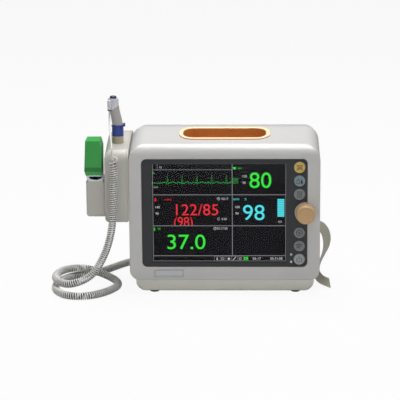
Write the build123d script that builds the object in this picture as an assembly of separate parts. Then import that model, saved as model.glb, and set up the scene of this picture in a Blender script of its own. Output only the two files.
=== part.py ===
from build123d import *

import os
from math import asin, cos, pi, radians, sin, tan

# Patient monitor with a clip-on thermometer module, a side recorder and a curly probe cord.
# Millimetres. While it is built, the front face is the plane Y = 0, the casing is centred on
# X = 0 and the table is Z = 0. The last step moves everything so that the origin is the
# middle of the table rectangle that the monitor covers.

os.makedirs("parts", exist_ok=True)

# ---------------------------------------------------------------- driving dimensions
case_width = 243.0
case_depth = 140.0
crest_z = 207.8          # where the sloped top would meet the falling rear roof
crest_y = 72.0           # the crest, and the parting line of the two shells
top_slope = 11.5         # degrees, the top rises to the back
rear_slope = 8.0         # degrees, the roof falls behind the crest
front_round = 16.5
crest_round = 40.0
rear_round = 28.0
top_corner = 19.0        # corners of the outline seen from the front
bottom_corner = 13.0
wall = 2.8
lip_wall = 1.4
lip_reach = 5.0

foot_height = 3.0
foot_radius = 6.0
foot_x = 91.0
foot_y = (20.0, 112.0)
plinth_height = 16.5
plinth_width = 229.0
plinth_front = 8.0
plinth_depth = 118.0
plinth_corner = 13.0
plinth_wall = 2.6

bezel_width = 210.6
bezel_height = 140.5
bezel_corner = 6.5
bezel_thick = 3.0
bezel_set_back = 0.6
bezel_gap = 0.15
bezel_z = 107.25         # centre height of the bezel
ledge_width = 1.5
ledge_thick = 1.9

lcd_width = 170.4        # active area, 8.4 inch 4:3
lcd_height = 127.8
lcd_x = -6.7
lcd_z = 106.9
glass_thick = 1.8
glass_margin = 2.2
lcd_thick = 3.0
lcd_border = 4.5

key_x = 95.3
key_radius = 7.1
key_gap = 0.25
key_flange = 0.85
key_pitch = 17.4
key_top_z = 166.6
key_low_z = 47.1
key_travel = 0.8
key_names = ("key_alarm_pause", "key_cuff_start", "key_menu", "key_print", "key_standby", "key_power")

knob_x = 102.7
knob_z = 108.0
knob_radius = 12.5
knob_length = 14.5
knob_clearance = 0.2      # left between the pushed knob and the casing's front
knob_push = 0.6
boss_radius = 13.5
shaft_radius = 3.0
bush_radius = 3.5
shaft_fit = 0.05         # running clearance of a shaft in its bore

pocket_width = 106.0
pocket_length = 31.0
pocket_corner = 13.0
pocket_depth = 32.0
pocket_y = 45.2
rim_width = 5.5
rim_thick = 1.3
liner_wall = 2.0

module_width = 30.4
module_drop = 6.9        # how much lower the module's top lies than the casing's
module_bottom = 96.0
module_depth = 118.0
module_wall = 2.2
module_corner = 9.0
module_low_corner = 5.0
module_seam_corner = 3.0     # lower corner beside the casing
seam_edge = 1.0              # upper edge beside the casing
module_gap = 0.1

well_y = 35.5
well_radius = 6.2
well_ring_radius = 7.3
well_bore = 4.6
well_bottom = 102.0
ring_top = 201.6
collar_radius = 7.45
collar_height = 14.0
collar_bore = 5.4
tab_reach = 9.6          # of the collar's pull tab, from the well's axis
probe_shaft_radius = 2.5
probe_tip_z = 112.0
probe_top = 250.0
probe_lean = 5.2
head_drop = 14.6         # from the head's top to its lower edge
grip_radius = 6.9
spout_radius = 2.4
spout_x = 9.9            # how far left of the well's axis the cord leaves the head
button_radius = 4.5
button_proud = 3.3
button_travel = 3.0

holder_width = 24.3
holder_front = 5.0
holder_depth = 39.0
holder_bottom = 101.7
holder_lip = 147.3
holder_wall = 2.0
carton_gap = 0.4
carton_top = 199.5
carton_mouth = 154.0
cover_radius = 3.4
cover_flange = 0.3
cover_pitch = 7.6        # between the two columns of covers
card_thick = 0.8
hood_step = 1.8          # the carton's hood is this much narrower on the right than its foot

recorder_y = (24.0, 86.0)    # opening in the casing's right side
recorder_z = (31.4, 82.0)
recorder_wall = 2.0
recorder_depth = 50.0
paper_width = 50.0
paper_y = 55.0
paper_thick = 0.3
roll_radius = 20.0
roll_core = 6.0
roll_x = 93.5
roll_z = 55.5
door_gap = 0.3
door_top = 77.3
hinge_x = 118.8
hinge_z = 34.5
hinge_pin = 1.3
platen_x = 111.8
platen_z = 74.0
platen_radius = 5.0
platen_shaft = 2.0
gear_module = 0.5
gear_teeth = 24
pinion_teeth = 12
gear_thick = 1.8
latch_radius = 4.5
latch_travel = 1.5

battery_size = (88.0, 62.0, 20.0)
battery_door_size = (94.0, 30.0)

insert_x = 50.0
insert_y = (37.0, 97.0)
insert_radius = 3.0
insert_hole = 2.0

screw_radius = 2.0
post_radius = 5.0
post_top = (109.0, 166.0)
post_low = (54.0, 29.0)
chassis_y = 20.0
chassis_thick = 1.5

lead_diameter = 2.8
coil_diameter = 10.2
plug_radius = 6.0
plug_length = 20.0
relief_length = 12.5
plug_z = 125.0

case_bottom = foot_height + plinth_height
half_width = case_width / 2
bezel_back = bezel_set_back + bezel_thick
ledge_back = bezel_back + ledge_thick
module_right = -half_width - module_gap
module_left = module_right - module_width
module_x = (module_left + module_right) / 2
collar_top = ring_top + collar_height
seat_z = collar_top + 0.3


# ---------------------------------------------------------------- small helpers
def block(x, y, z):
    """A box given by its two limits along each axis."""
    size = (x[1] - x[0], y[1] - y[0], z[1] - z[0])
    middle = ((x[0] + x[1]) / 2, (y[0] + y[1]) / 2, (z[0] + z[1]) / 2)
    return Pos(*middle) * Box(*size)


def rod_x(radius, x, y, z):
    """A cylinder along X, from x[0] to x[1]."""
    return Plane(origin=(x[0], y, z), z_dir=(1, 0, 0)) * extrude_up(Circle(radius), x[1] - x[0])


def rod_y(radius, x, y, z):
    """A cylinder along Y, from y[0] to y[1]."""
    return Plane(origin=(x, y[0], z), z_dir=(0, 1, 0)) * extrude_up(Circle(radius), y[1] - y[0])


def rod_z(radius, x, y, z):
    """A cylinder along Z, from z[0] to z[1]."""
    return Pos(x, y, z[0]) * extrude_up(Circle(radius), z[1] - z[0])


def extrude_up(sketch, height):
    return extrude(sketch, amount=height)


def front_plate(width, height, corner, x, y, z):
    """A plate with rounded corners that faces the front, from y[0] to y[1]."""
    plane = Plane(origin=(x, y[0], z), x_dir=(1, 0, 0), z_dir=(0, -1, 0))
    return plane * extrude(RectangleRounded(width, height, corner), amount=y[0] - y[1])


def polygon(points):
    return make_face(Polyline(*points, close=True))


def soften(solid, edges, radius):
    """Round the edges, less where the wall is too thin for the full radius."""
    for share in (1.0, 0.6, 0.3):
        try:
            rounded = fillet(edges, radius * share)
        except Exception:
            continue
        if rounded.is_valid and rounded.volume < solid.volume * 1.001:
            return rounded
    return solid


# ---------------------------------------------------------------- casing
def side_profile(depth, top, bottom, inset):
    """The shape seen from the side, as a face in the YZ plane."""
    front_top = top - crest_y * tan(radians(top_slope))
    rear_top = top - (depth - crest_y) * tan(radians(rear_slope))
    corners = [(0, bottom), (0, front_top), (crest_y, top), (depth, rear_top), (depth, bottom)]
    face = polygon(corners)
    for index, radius in ((1, front_round), (2, crest_round), (3, rear_round)):
        vertex = face.vertices().sort_by_distance((*corners[index], 0))[0]
        face = fillet(vertex, radius)
    if inset:
        face = offset(face, amount=-inset)
    return Plane(origin=(0, 0, 0), x_dir=(0, 1, 0), z_dir=(1, 0, 0)) * face


def outline(x, z, low_round, high_round, inset, y):
    """A rectangle across the body at a depth y, with its own radius at each corner."""
    corners = [(x[0], z[0]), (x[0], z[1]), (x[1], z[1]), (x[1], z[0])]
    face = polygon(corners)
    for corner, radius in zip(corners, (low_round[0], high_round[0], high_round[1], low_round[1])):
        if radius:
            vertex = face.vertices().sort_by_distance((*corner, 0))[0]
            face = fillet(vertex, radius)
    if inset:
        face = offset(face, amount=-inset)
    return (Plane(origin=(0, y, 0), x_dir=(1, 0, 0), z_dir=(0, -1, 0)) * face).faces()[0]


def rounded_body(x, depth, top, bottom, low_round, high_round, inset):
    """A body with a rising and falling top, whose rounded upper corners follow the slopes."""
    rise = depth * tan(radians(top_slope))
    fall = depth * tan(radians(rear_slope))
    front_top = top - crest_y * tan(radians(top_slope))
    rear_start = top + crest_y * tan(radians(rear_slope))
    profile = side_profile(depth, top, bottom, inset)
    across = Pos(x[0] - wall, 0, 0) * extrude(profile, amount=x[1] - x[0] + 2 * wall)
    lower = Solid.extrude(outline(x, (bottom, 2 * top), low_round, (0, 0), inset, 0), Vector(0, depth, 0))
    rising = Solid.extrude(outline(x, (-top, front_top), (0, 0), high_round, inset, 0), Vector(0, depth, rise))
    falling = Solid.extrude(outline(x, (-top, rear_start), (0, 0), high_round, inset, 0), Vector(0, depth, -fall))
    return (rising & falling & lower & across).solids()[0]


def casing(inset):
    """The whole casing as a solid, made smaller all round by the inset."""
    low_round = (bottom_corner, bottom_corner)
    high_round = (top_corner, top_corner)
    x = (-half_width, half_width)
    return rounded_body(x, case_depth, crest_z, case_bottom, low_round, high_round, inset)


def top_height(y):
    """Height of the sloped top at a depth y."""
    return crest_z - (crest_y - y) * tan(radians(top_slope))


def pocket_plane():
    slope = radians(top_slope)
    return Plane(origin=(0, pocket_y, top_height(pocket_y)), x_dir=(1, 0, 0), z_dir=(0, -sin(slope), cos(slope)))


def pocket_prism(width, length, corner, low, high):
    """A rounded prism across the handle pocket, from low to high along its own axis."""
    return pocket_plane() * Pos(0, 0, low) * extrude(RectangleRounded(width, length, corner), amount=high - low)


def recorder_opening(grow, x):
    y = (recorder_y[0] - grow, recorder_y[1] + grow)
    z = (recorder_z[0] - grow, recorder_z[1] + grow)
    return block(x, y, z)


def ports():
    """Centre (Y, Z), outer radius and bore radius of each patient connector on the left side."""
    return ((54.0, 66.0, 8.0, 4.0), (89.0, 66.0, 9.0, 6.4), (113.0, 66.0, 10.0, 7.6))


def full_shell():
    """The closed casing before it is cut into its two shells."""
    return casing(0) - casing(wall)


def front_shell(shell):
    part = shell & block((-half_width, half_width), (0, crest_y), (0, crest_z))
    # frame behind the bezel, with the ledge that the bezel rests on
    frame = front_plate(bezel_width + 5, bezel_height + 5, bezel_corner, 0, (wall - 0.5, ledge_back), bezel_z)
    part = part + (frame & casing(0.5))
    for x, z in ((-post_top[0], post_top[1]), post_top, (-post_low[0], post_low[1]), post_low):
        part = part + rod_y(post_radius - 0.5, x, (wall - 0.5, chassis_y), z)
        part = part - rod_y(screw_radius, x, (8, chassis_y + 1), z)
    recess = front_plate(
        bezel_width + 2 * bezel_gap, bezel_height + 2 * bezel_gap, bezel_corner, 0, (-1, bezel_back), bezel_z
    )
    through = front_plate(
        bezel_width - 2 * ledge_width, bezel_height - 2 * ledge_width, bezel_corner - ledge_width, 0, (-1, 8), bezel_z
    )
    part = part - recess - through
    part = part + rod_y(boss_radius, knob_x, (bezel_set_back, ledge_back), knob_z)
    part = part - rod_y(bush_radius + 0.1, knob_x, (-1, 8), knob_z)
    # pads that carry the key board
    for z in (knob_z - 18, knob_z + 18, knob_z + 44):
        part = part + rod_y(2.0, half_width - 14.5, (ledge_back - 0.5, 8.0), z)
    # inner lip that fits into the rear shell
    core = casing(wall + lip_wall)
    lip = casing(wall - 0.3) & block((-200, 200), (crest_y - 6, crest_y), (0, 300))
    reach = casing(wall + 0.15) & block((-200, 200), (crest_y - 0.5, crest_y + lip_reach), (0, 300))
    beside = block((half_width - 20, half_width - wall), (0, 200), (recorder_z[0] - 8, recorder_z[1] + 14))
    part = part + (lip + reach - core - beside)
    hole = pocket_prism(
        pocket_width + 2 * liner_wall + 0.4, pocket_length + 2 * liner_wall + 0.4, pocket_corner + liner_wall,
        -pocket_depth - 12, 12,
    )
    part = part - hole
    part = part - recorder_opening(0, (half_width - 8, half_width + 5))
    for y, z, half, bore in ports():
        part = part - rod_x(half + 0.2, (-half_width - 1, -half_width + 12), y, z)
    label_cut = front_plate(37.7, 9.8, 1.6, -71.15, (-1, 0.5), 28.7)
    for x in (-insert_x, insert_x):
        for y in insert_y:
            part = part - rod_z(insert_radius + 1, x, y, (0, case_bottom + 6))
    return (part - label_cut).solids().sort_by(SortBy.VOLUME)[-1]


def battery_z():
    return case_bottom + wall + 6.0


def rear_cuts():
    """Openings through the rear wall and the sides of the rear shell."""
    deep = (case_depth - 12, case_depth + 5)
    cuts = [block((-83.2, -54.8), deep, (39.8, 60.2))]
    cuts += [block((11.8, 28.2), deep, (72.8, 87.2)), block((35.8, 50.2), deep, (76.8, 84.2))]
    cuts += [block((59.8, 91.2), deep, (73.8, 86.2))]
    width, height = battery_door_size
    low = battery_z() - 3.5
    cuts += [block((-width / 2, width / 2), (case_depth - 3.2, case_depth + 5), (low, low + height))]
    inner = (battery_size[0] + 1.2) / 2
    cuts += [block((-inner, inner), deep, (battery_z() - 0.6, battery_z() + battery_size[2] + 1.0))]
    for row in range(5):
        for column in range(7):
            cuts.append(rod_y(1.3, 42 + 6 * column, (deep[0] + 2, deep[1]), 112 + 6 * row))
    for row in range(6):
        z = 104 + 8 * row
        cuts.append(block((-96, -28), (deep[0] + 2, deep[1]), (z, z + 3)))
    return cuts


def rear_shell(shell):
    part = shell & block((-half_width, half_width), (crest_y, case_depth), (0, crest_z))
    posts = [(-post_top[0], post_top[1]), post_top, (-post_low[0], post_low[1]), post_low]
    for x, z in posts:
        part = part + rod_y(post_radius, x, (chassis_y + chassis_thick, case_depth - wall + 0.5), z)
    # tray for the battery, open at the rear wall
    inner = (battery_size[0] + 1.0) / 2
    low, high = battery_z() - 0.5, battery_z() + battery_size[2] + 0.8
    front = case_depth - 4.0 - battery_size[1]
    tray = block((-inner - 1.6, inner + 1.6), (front - 2, case_depth - 1), (low - 1.6, high + 1.6))
    width, height = battery_door_size
    flange = block((-width / 2 - 3, width / 2 + 3), (case_depth - 5.2, case_depth - wall + 0.1), (case_bottom + 1, low + height))
    part = part + tray + flange
    part = part - block((-inner, inner), (front, case_depth - 2), (low, high))
    # bosses for the power supply
    for x in (-100, -20):
        part = part + block((x - 4, x + 4), (132, case_depth - 1), (96, 102))
    for cut in rear_cuts():
        part = part - cut
    for x, z in posts:
        part = part - rod_y(screw_radius + 0.2, x, (chassis_y, case_depth + 1), z)
        part = part - rod_y(4.0, x, (60, case_depth + 1), z)
    part = part - recorder_opening(0, (half_width - 8, half_width + 5))
    for y, z, half, bore in ports():
        part = part - rod_x(half + 0.2, (-half_width - 1, -half_width + 12), y, z)
    for x in (-insert_x, insert_x):
        for y in insert_y:
            part = part - rod_z(insert_radius + 1, x, y, (0, case_bottom + 6))
    return part.solids().sort_by(SortBy.VOLUME)[-1]


def base_plinth():
    """The foot tray under the casing, with a boss for each stand insert."""
    half = plinth_width / 2
    y = (plinth_front, plinth_front + plinth_depth)
    solid = block((-half, half), y, (foot_height, case_bottom))
    low_sides = solid.edges().filter_by(Axis.Y).sort_by(Axis.Z)[:2]
    solid = fillet(low_sides, plinth_corner)
    ends = solid.faces().sort_by(Axis.Z)[0].edges().filter_by(Axis.X)
    solid = soften(solid, ends, 3.0)
    inner = block(
        (-half + plinth_corner, half - plinth_corner), (y[0] + plinth_wall, y[1] - plinth_wall),
        (foot_height + plinth_wall, case_bottom + 1),
    )
    solid = solid - inner
    for x in (-insert_x, insert_x):
        for yy in insert_y:
            solid = solid + rod_z(6.0, x, yy, (foot_height, case_bottom))
            solid = solid - rod_z(insert_radius, x, yy, (foot_height - 1, case_bottom + 1))
    for x in (-foot_x, foot_x):
        for yy in foot_y:
            solid = solid + rod_z(5.5, x, yy, (foot_height + 1, foot_height + 8))
            solid = solid - rod_z(3.05, x, yy, (foot_height - 1, foot_height + 5))
    return solid


def rubber_feet():
    feet = []
    for x in (-foot_x, foot_x):
        for y in foot_y:
            pad = rod_z(foot_radius, x, y, (0, foot_height))
            pad = chamfer(pad.edges().sort_by(Axis.Z)[0], 0.6)
            feet.append(pad + rod_z(3.0, x, y, (foot_height - 0.5, foot_height + 4.5)))
    return feet


def mount_inserts():
    inserts = []
    for x in (-insert_x, insert_x):
        for y in insert_y:
            sleeve = rod_z(insert_radius, x, y, (foot_height, case_bottom - 2))
            inserts.append(sleeve - rod_z(insert_hole, x, y, (0, case_bottom)))
    return inserts


# ---------------------------------------------------------------- front panel
def key_heights():
    top = [key_top_z - key_pitch * i for i in range(3)]
    low = [key_low_z + key_pitch * i for i in (2, 1, 0)]
    return top + low


def light_places():
    return ((85.0, 53.3), (85.0, 43.6))


def screen_bezel():
    y = (bezel_set_back, bezel_back)
    part = front_plate(bezel_width, bezel_height, bezel_corner, 0, y, bezel_z)
    part = part - front_plate(lcd_width + 0.8, lcd_height + 0.8, 0.8, lcd_x, (-1, 8), lcd_z)
    for z in key_heights():
        part = part - rod_y(key_radius + key_gap, key_x, (-1, 8), z)
    part = part - rod_y(boss_radius + 0.2, knob_x, (-1, 8), knob_z)
    for x, z in light_places():
        part = part - rod_y(1.55, x, (-1, 8), z)
    return part


def screen_window():
    width = lcd_width + 2 * glass_margin
    height = lcd_height + 2 * glass_margin
    return front_plate(width, height, 1.0, lcd_x, (bezel_back, bezel_back + glass_thick), lcd_z)


def lcd_panel():
    start = ledge_back + 0.1
    width = lcd_width + 2 * lcd_border
    height = lcd_height + 2 * lcd_border
    return front_plate(width, height, 0.6, lcd_x, (start, start + lcd_thick), lcd_z)


def lcd_frame():
    """Metal back frame of the display, on four stand-offs to the chassis."""
    start = ledge_back + 0.1 + lcd_thick
    width = lcd_width + 2 * lcd_border
    height = lcd_height + 2 * lcd_border
    part = front_plate(width, height, 2.0, lcd_x, (start, start + 0.9), lcd_z)
    for x in (lcd_x - 80, lcd_x + 80):
        for z in (lcd_z - 58, lcd_z + 58):
            part = part + rod_y(3.0, x, (start + 0.5, chassis_y), z)
    return part


def key_cap(z):
    """A round key that slides in the bezel, with a flange behind it."""
    front = bezel_set_back - 0.9
    cap = rod_y(key_radius, key_x, (front, bezel_back + 0.5), z)
    cap = fillet(cap.edges().sort_by(Axis.Y)[0], 0.7)
    flange = rod_y(key_radius + key_flange, key_x, (bezel_back + 0.12, bezel_back + 1.0), z)
    return cap + flange + rod_y(3.0, key_x, (bezel_back, bezel_back + 1.9), z)


def key_mat():
    """Two silicone mats, one behind each group of three keys."""
    mats = []
    back = 8.0
    for centre in (key_top_z - key_pitch, key_low_z + key_pitch):
        z = (centre - key_pitch - 8, centre + key_pitch + 8)
        mats.append(block((key_x - 8.6, key_x + 8.4), (back - 1.4, back), z))
    return mats


def key_board():
    y = (8.0, 9.6)
    low = bezel_z - bezel_height / 2 + 2
    board = block((84.4, 104.2), y, (low, low + bezel_height - 4))
    board = board + block((100, 111), y, (knob_z - 24, knob_z + 48))
    return board - rod_y(bush_radius + 0.2, knob_x, (0, 20), knob_z)


def encoder_body():
    half = 6.2
    case = block((knob_x - half, knob_x + half), (9.6, 17.0), (knob_z - half, knob_z + half))
    case = case + rod_y(bush_radius, knob_x, (bezel_set_back + 0.4, 10.0), knob_z)
    case = case - rod_y(shaft_radius + shaft_fit, knob_x, (-5, 13.0), knob_z)
    return case - rod_y(4.4, knob_x, (12.6, 16.2), knob_z)


def encoder_plunger():
    return rod_y(4.3, knob_x, (13.3, 15.4), knob_z)


def encoder_shaft():
    shaft = rod_y(shaft_radius, knob_x, (bezel_set_back - 12.5, 13.2), knob_z)
    return chamfer(shaft.edges().sort_by(Axis.Y)[0], 0.5)


def knob():
    """Turned, slightly tapered knob with a dished face."""
    rear = -(knob_push + knob_clearance)
    front = rear - knob_length
    outline = [
        (0, rear), (knob_radius, rear), (knob_radius, rear - 2.0), (knob_radius - 0.6, front + 1.6),
        (knob_radius - 2.2, front), (knob_radius - 3.6, front + 0.5), (0, front + 0.9),
    ]
    profile = Plane.XY * polygon(outline)
    body = revolve(profile, axis=Axis.Y)
    body = Pos(knob_x, 0, knob_z) * body
    return body - rod_y(shaft_radius + 0.03, knob_x, (front + 3.0, rear + 5), knob_z)


def indicator_lights():
    return [rod_y(1.45, x, (bezel_set_back, 7.9), z) for x, z in light_places()]


def label_plate():
    return front_plate(37.3, 9.4, 1.4, -71.15, (-0.3, 0.5), 28.7)


def handle_liner():
    """Moulded tray of the handle pocket with the rim that lies on the top."""
    rim = pocket_prism(
        pocket_width + 2 * rim_width, pocket_length + 2 * rim_width, pocket_corner + rim_width, 0, rim_thick
    )
    rim = soften(rim, rim.faces().sort_by(Axis.Z)[-1].edges(), 0.9)
    cup = pocket_prism(
        pocket_width + 2 * liner_wall, pocket_length + 2 * liner_wall, pocket_corner + liner_wall,
        -pocket_depth - liner_wall, rim_thick / 2,
    )
    hollow = pocket_prism(pocket_width, pocket_length, pocket_corner, -pocket_depth, rim_thick + 5)
    bottom = hollow.faces().sort_by(Axis.Z)[0].edges()
    hollow = soften(hollow, bottom, 6.0)
    part = rim + cup - hollow
    mouth = part.edges().filter_by(
        lambda e: abs(pocket_plane().to_local_coords(e.center()).Z - rim_thick) < 0.05
        and abs(pocket_plane().to_local_coords(e.center()).X) <= pocket_width / 2 + 0.2
        and abs(pocket_plane().to_local_coords(e.center()).Y) <= pocket_length / 2 + 0.2
    )
    return soften(part, mouth, 1.2)


# ---------------------------------------------------------------- inside
def chassis_plate():
    """Sheet-metal plate between the display and the electronics."""
    y = (chassis_y, chassis_y + chassis_thick)
    plate = block((-114, 114), y, (post_top[1] - 12, post_top[1] + 6))
    plate = plate + block((-114, 66), y, (40, post_top[1]))
    plate = plate + block((-62, 62), y, (25, 45))
    for x, z in ((-post_top[0], post_top[1]), post_top, (-post_low[0], post_low[1]), post_low):
        plate = plate - rod_y(screw_radius + 0.3, x, (0, 30), z)
    return plate


def main_board():
    """Printed board on four spacers, with its connectors and shielding cans."""
    front = chassis_y + chassis_thick
    board = block((-104, 62), (front + 4, front + 5.6), (92, 160))
    for x in (-98, 56):
        for z in (98, 154):
            board = board + rod_y(3.0, x, (front, front + 4.5), z)
    back = front + 5.6
    for x, z, width, height, rise in (
        (-88, 128, 24, 24, 5), (-52, 128, 32, 20, 7), (-6, 128, 28, 36, 4), (34, 128, 18, 18, 8), (-60, 104, 60, 8, 9),
    ):
        board = board + block((x, x + width), (back - 0.3, back + rise), (z, z + height))
    return board


def power_supply():
    """Open-frame supply on two bosses of the rear wall."""
    base = block((-103.5, -14), (130.4, 132.0), (94, 164))
    parts = base
    for x, z, width, height, rise in ((-102, 100, 26, 30, 26), (-70, 104, 30, 34, 30), (-34, 100, 14, 52, 22)):
        parts = parts + block((x, x + width), (130.6 - rise, 130.6), (z, z + height))
    return parts


def battery_pack():
    x, y, z = battery_size
    low = battery_z()
    back = case_depth - 4.0
    pack = block((-x / 2, x / 2), (back - y + 0.3, back), (low, low + z))
    return soften(pack, pack.edges().filter_by(Axis.Y), 2.5)


def battery_door():
    """Hinged cover over the battery bay, with its latch tongue at the top."""
    width, height = battery_door_size
    low = battery_z() - 3.5
    x = (-width / 2 + 0.3, width / 2 - 0.3)
    door = block(x, (case_depth - 2.8, case_depth), (low + 0.5, low + height - 0.4))
    lower = door.edges().filter_by(Axis.X).sort_by(Axis.Z)[:2]
    door = soften(door, lower, 1.3)
    grip = block((-9, 9), (case_depth - 0.2, case_depth + 1.2), (low + height - 8, low + height - 5))
    door = door + grip
    for side in (-1, 1):
        end = side * (width / 2 - 0.4)
        door = door + rod_x(1.0, sorted((end, end + side * 2.4)), case_depth - 1.5, low + 2.0)
    return door


def battery_pin_holes(part):
    """Cut the two sockets that take the hinge pins of the battery door."""
    width = battery_door_size[0]
    low = battery_z() - 3.5
    for side in (-1, 1):
        end = side * (width / 2 - 0.4)
        socket = rod_x(1.0 + shaft_fit, sorted((end, end + side * 3.0)), case_depth - 1.5, low + 2.0)
        part = part - socket
    return part


def cuff_pump():
    """Diaphragm pump on its saddle, and the valve block beside it, both on the casing's floor."""
    floor = case_bottom + wall
    y, z = 50.0, floor + 18.0
    pump = rod_x(13.5, (-106, -70), y, z)
    pump = pump + rod_x(11.0, (-72, -61), y, z)
    pump = pump + block((-102, -74), (y - 11, y + 11), (floor, floor + 8))
    valves = block((-40, -4), (36, 58), (floor, floor + 20))
    for x in (-32, -12):
        valves = valves + rod_z(5.5, x, 47, (floor + 19.5, floor + 34))
    return [pump, valves]


def speaker():
    """Round speaker behind the grille of the rear wall."""
    face = case_depth - wall
    cone = rod_y(25.0, 60, (face - 5, face), 124)
    cone = cone + rod_y(18.0, 60, (face - 14, face - 4), 124)
    return cone - rod_y(21.0, 60, (face - 3.5, face + 1), 124)


def power_inlet():
    """Three-pin mains inlet; its flange lies on the rear wall."""
    body = block((-83, -55), (114, case_depth), (40, 60))
    body = body + block((-88, -50), (case_depth, case_depth + 2.0), (36, 64))
    body = body - block((-81, -57), (122, case_depth + 5), (42, 58))
    for x, z in ((-69, 53.5), (-75, 46.5), (-63, 46.5)):
        body = body + block((x - 2, x + 2), (121.5, 136), (z - 1, z + 1))
    return body


def data_sockets():
    """Network, service and call sockets in the rear wall."""
    back = case_depth - 0.2
    network = block((12, 28), (120, back), (73, 87)) - block((14, 26), (126, back + 1), (75.5, 84.5))
    service = block((36, 50), (124, back), (77, 84)) - block((37, 49), (128, back + 1), (78, 83))
    call = block((60, 91), (126, back), (74, 86)) - block((62, 89), (131, back + 1), (76, 84))
    return [network, service, call]


def patient_ports():
    """The three patient connectors, flush with the casing's left side."""
    found = []
    face = -half_width
    for y, z, half, bore in ports():
        body = rod_x(half, (face + 0.2, face + 18), y, z)
        body = body + rod_x(half + 2.0, (face + wall + 0.1, face + wall + 2.1), y, z)
        found.append(body - rod_x(bore, (face - 1, face + 14), y, z))
    return found


def shell_screws():
    screws = []
    for x, z in ((-post_top[0], post_top[1]), post_top, (-post_low[0], post_low[1]), post_low):
        shank = rod_y(screw_radius, x, (9, 60.5), z)
        head = rod_y(3.6, x, (60, 63), z)
        slot = block((x - 2.4, x + 2.4), (61.6, 64), (z - 0.5, z + 0.5))
        screws.append(shank + head - slot)
    return screws


# ---------------------------------------------------------------- recorder
def gear_outline(teeth, phase):
    """Flat-flanked gear as a face: root, flank, tip, flank for each tooth."""
    pitch = gear_module * teeth / 2
    tip = pitch + 0.9 * gear_module
    root = pitch - 1.15 * gear_module
    points = []
    step = 2 * pi / teeth
    for tooth in range(teeth):
        centre = phase + tooth * step
        for radius, share in ((root, -0.30), (tip, -0.11), (tip, 0.11), (root, 0.30)):
            angle = centre + share * step
            points.append((radius * cos(angle), radius * sin(angle)))
    return polygon(points)


def pinion_place():
    distance = gear_module * (gear_teeth + pinion_teeth) / 2 + 0.05
    angle = radians(136.0)
    return platen_x + distance * cos(angle), platen_z + distance * sin(angle), angle


def gear_span():
    start = paper_y + paper_width / 2 + 0.9
    return start, start + gear_thick


def gear_solid(x, z, teeth, phase):
    """A gear whose axis runs along Y."""
    start, end = gear_span()
    plane = Plane(origin=(x, end, z), x_dir=(1, 0, 0), z_dir=(0, -1, 0))
    return plane * extrude(gear_outline(teeth, phase), amount=end - start)


def recorder_housing():
    """Tub for the paper roll, open to the right side of the casing."""
    x = (half_width - wall - recorder_depth, half_width - wall - 0.1)
    y = (recorder_y[0] - 4, recorder_y[1] + 4)
    z = (recorder_z[0] - 4, recorder_z[1] + 10)
    tub = block(x, y, z)
    inside = block(
        (x[0] + recorder_wall, x[1] + 1), (y[0] + recorder_wall, y[1] - recorder_wall),
        (z[0] + recorder_wall, z[1] - recorder_wall),
    )
    tub = tub - inside
    for start, end in ((y[0], paper_y - paper_width / 2 + 4), (paper_y + paper_width / 2 - 4, y[1])):
        tub = tub + rod_y(roll_core - shaft_fit, roll_x, (start, end), roll_z)
    shaft_x, shaft_z, angle = pinion_place()
    tub = tub - rod_y(1.5, shaft_x, (y[1] - 4, y[1] + 1), shaft_z)
    # cheeks with the sockets of the door's hinge pins
    for side in (0, 1):
        near = recorder_y[side]
        cheek = sorted((near, near + (-2.4 if side == 0 else 2.4)))
        tub = tub + block((hinge_x - 7, x[1]), cheek, (z[0], hinge_z + 5))
    tub = tub + block((96, 116), (paper_y - 6, paper_y + 6), (z[1] - recorder_wall - 2.0, z[1] - recorder_wall + 0.5))
    tub = tub & casing(wall + 0.1)
    return tub - rod_y(hinge_pin + shaft_fit, hinge_x, (y[0] + 1.0, y[1] - 1.0), hinge_z)


def hinge_socket_cut(part):
    """Let the recorder door's hinge pins into the casing wall."""
    return part - rod_y(hinge_pin + shaft_fit, hinge_x, (recorder_y[0] - 2.2, recorder_y[1] + 2.2), hinge_z)


def print_head():
    top = recorder_z[1] + 10 - recorder_wall - 2.0
    bar = block((102, 117), (paper_y - paper_width / 2, paper_y + paper_width / 2), (platen_z + platen_radius + 0.9, top))
    return bar - block((101, 106), (0, 200), (platen_z, platen_z + platen_radius + 2.6))


def recorder_motor():
    x, z, angle = pinion_place()
    start = recorder_y[1] + 4
    motor = rod_y(9.5, x, (start, start + 16), z)
    return motor - rod_y(1.2, x, (start - 1, start + 2.5), z)


def motor_pinion():
    x, z, angle = pinion_place()
    # turned by half a tooth, so that a gap faces the platen's tooth
    phase = angle - pi + pi / pinion_teeth
    gear = gear_solid(x, z, pinion_teeth, phase)
    shaft = rod_y(1.0, x, (gear_span()[0], recorder_y[1] + 4 + 2.0), z)
    return gear + shaft


def recorder_door():
    """Outer door, hinged at its lower edge, with two arms for the platen."""
    y = (recorder_y[0] + door_gap, recorder_y[1] - door_gap)
    plate = block((half_width - wall, half_width), y, (hinge_z - 2.2, door_top))
    lower = plate.edges().filter_by(Axis.Y).sort_by(Axis.Z)[:2]
    plate = soften(plate, lower, 1.35)
    for near, far in ((recorder_y[0] + 1.2, recorder_y[0] + 3.2), (recorder_y[1] - 3.2, recorder_y[1] - 1.2)):
        arm = block((platen_x - 4, half_width - wall + 0.2), (near, far), (platen_z - 8, door_top))
        plate = plate + arm
    plate = plate + rod_y(hinge_pin, hinge_x, (recorder_y[0] - 2.0, recorder_y[1] + 2.0), hinge_z)
    plate = plate - rod_y(platen_shaft + shaft_fit, platen_x, (0, 200), platen_z)
    return plate - rod_x(latch_radius + 0.1, (half_width - wall - 2, half_width + 2), paper_y, roll_z + 3)


def recorder_latch():
    cap = rod_x(latch_radius, (half_width - wall - 1.2, half_width + 0.2), paper_y, roll_z + 3)
    flange = rod_x(latch_radius + 0.8, (half_width - wall - 1.2, half_width - wall - 0.1), paper_y, roll_z + 3)
    return cap + flange


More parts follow.
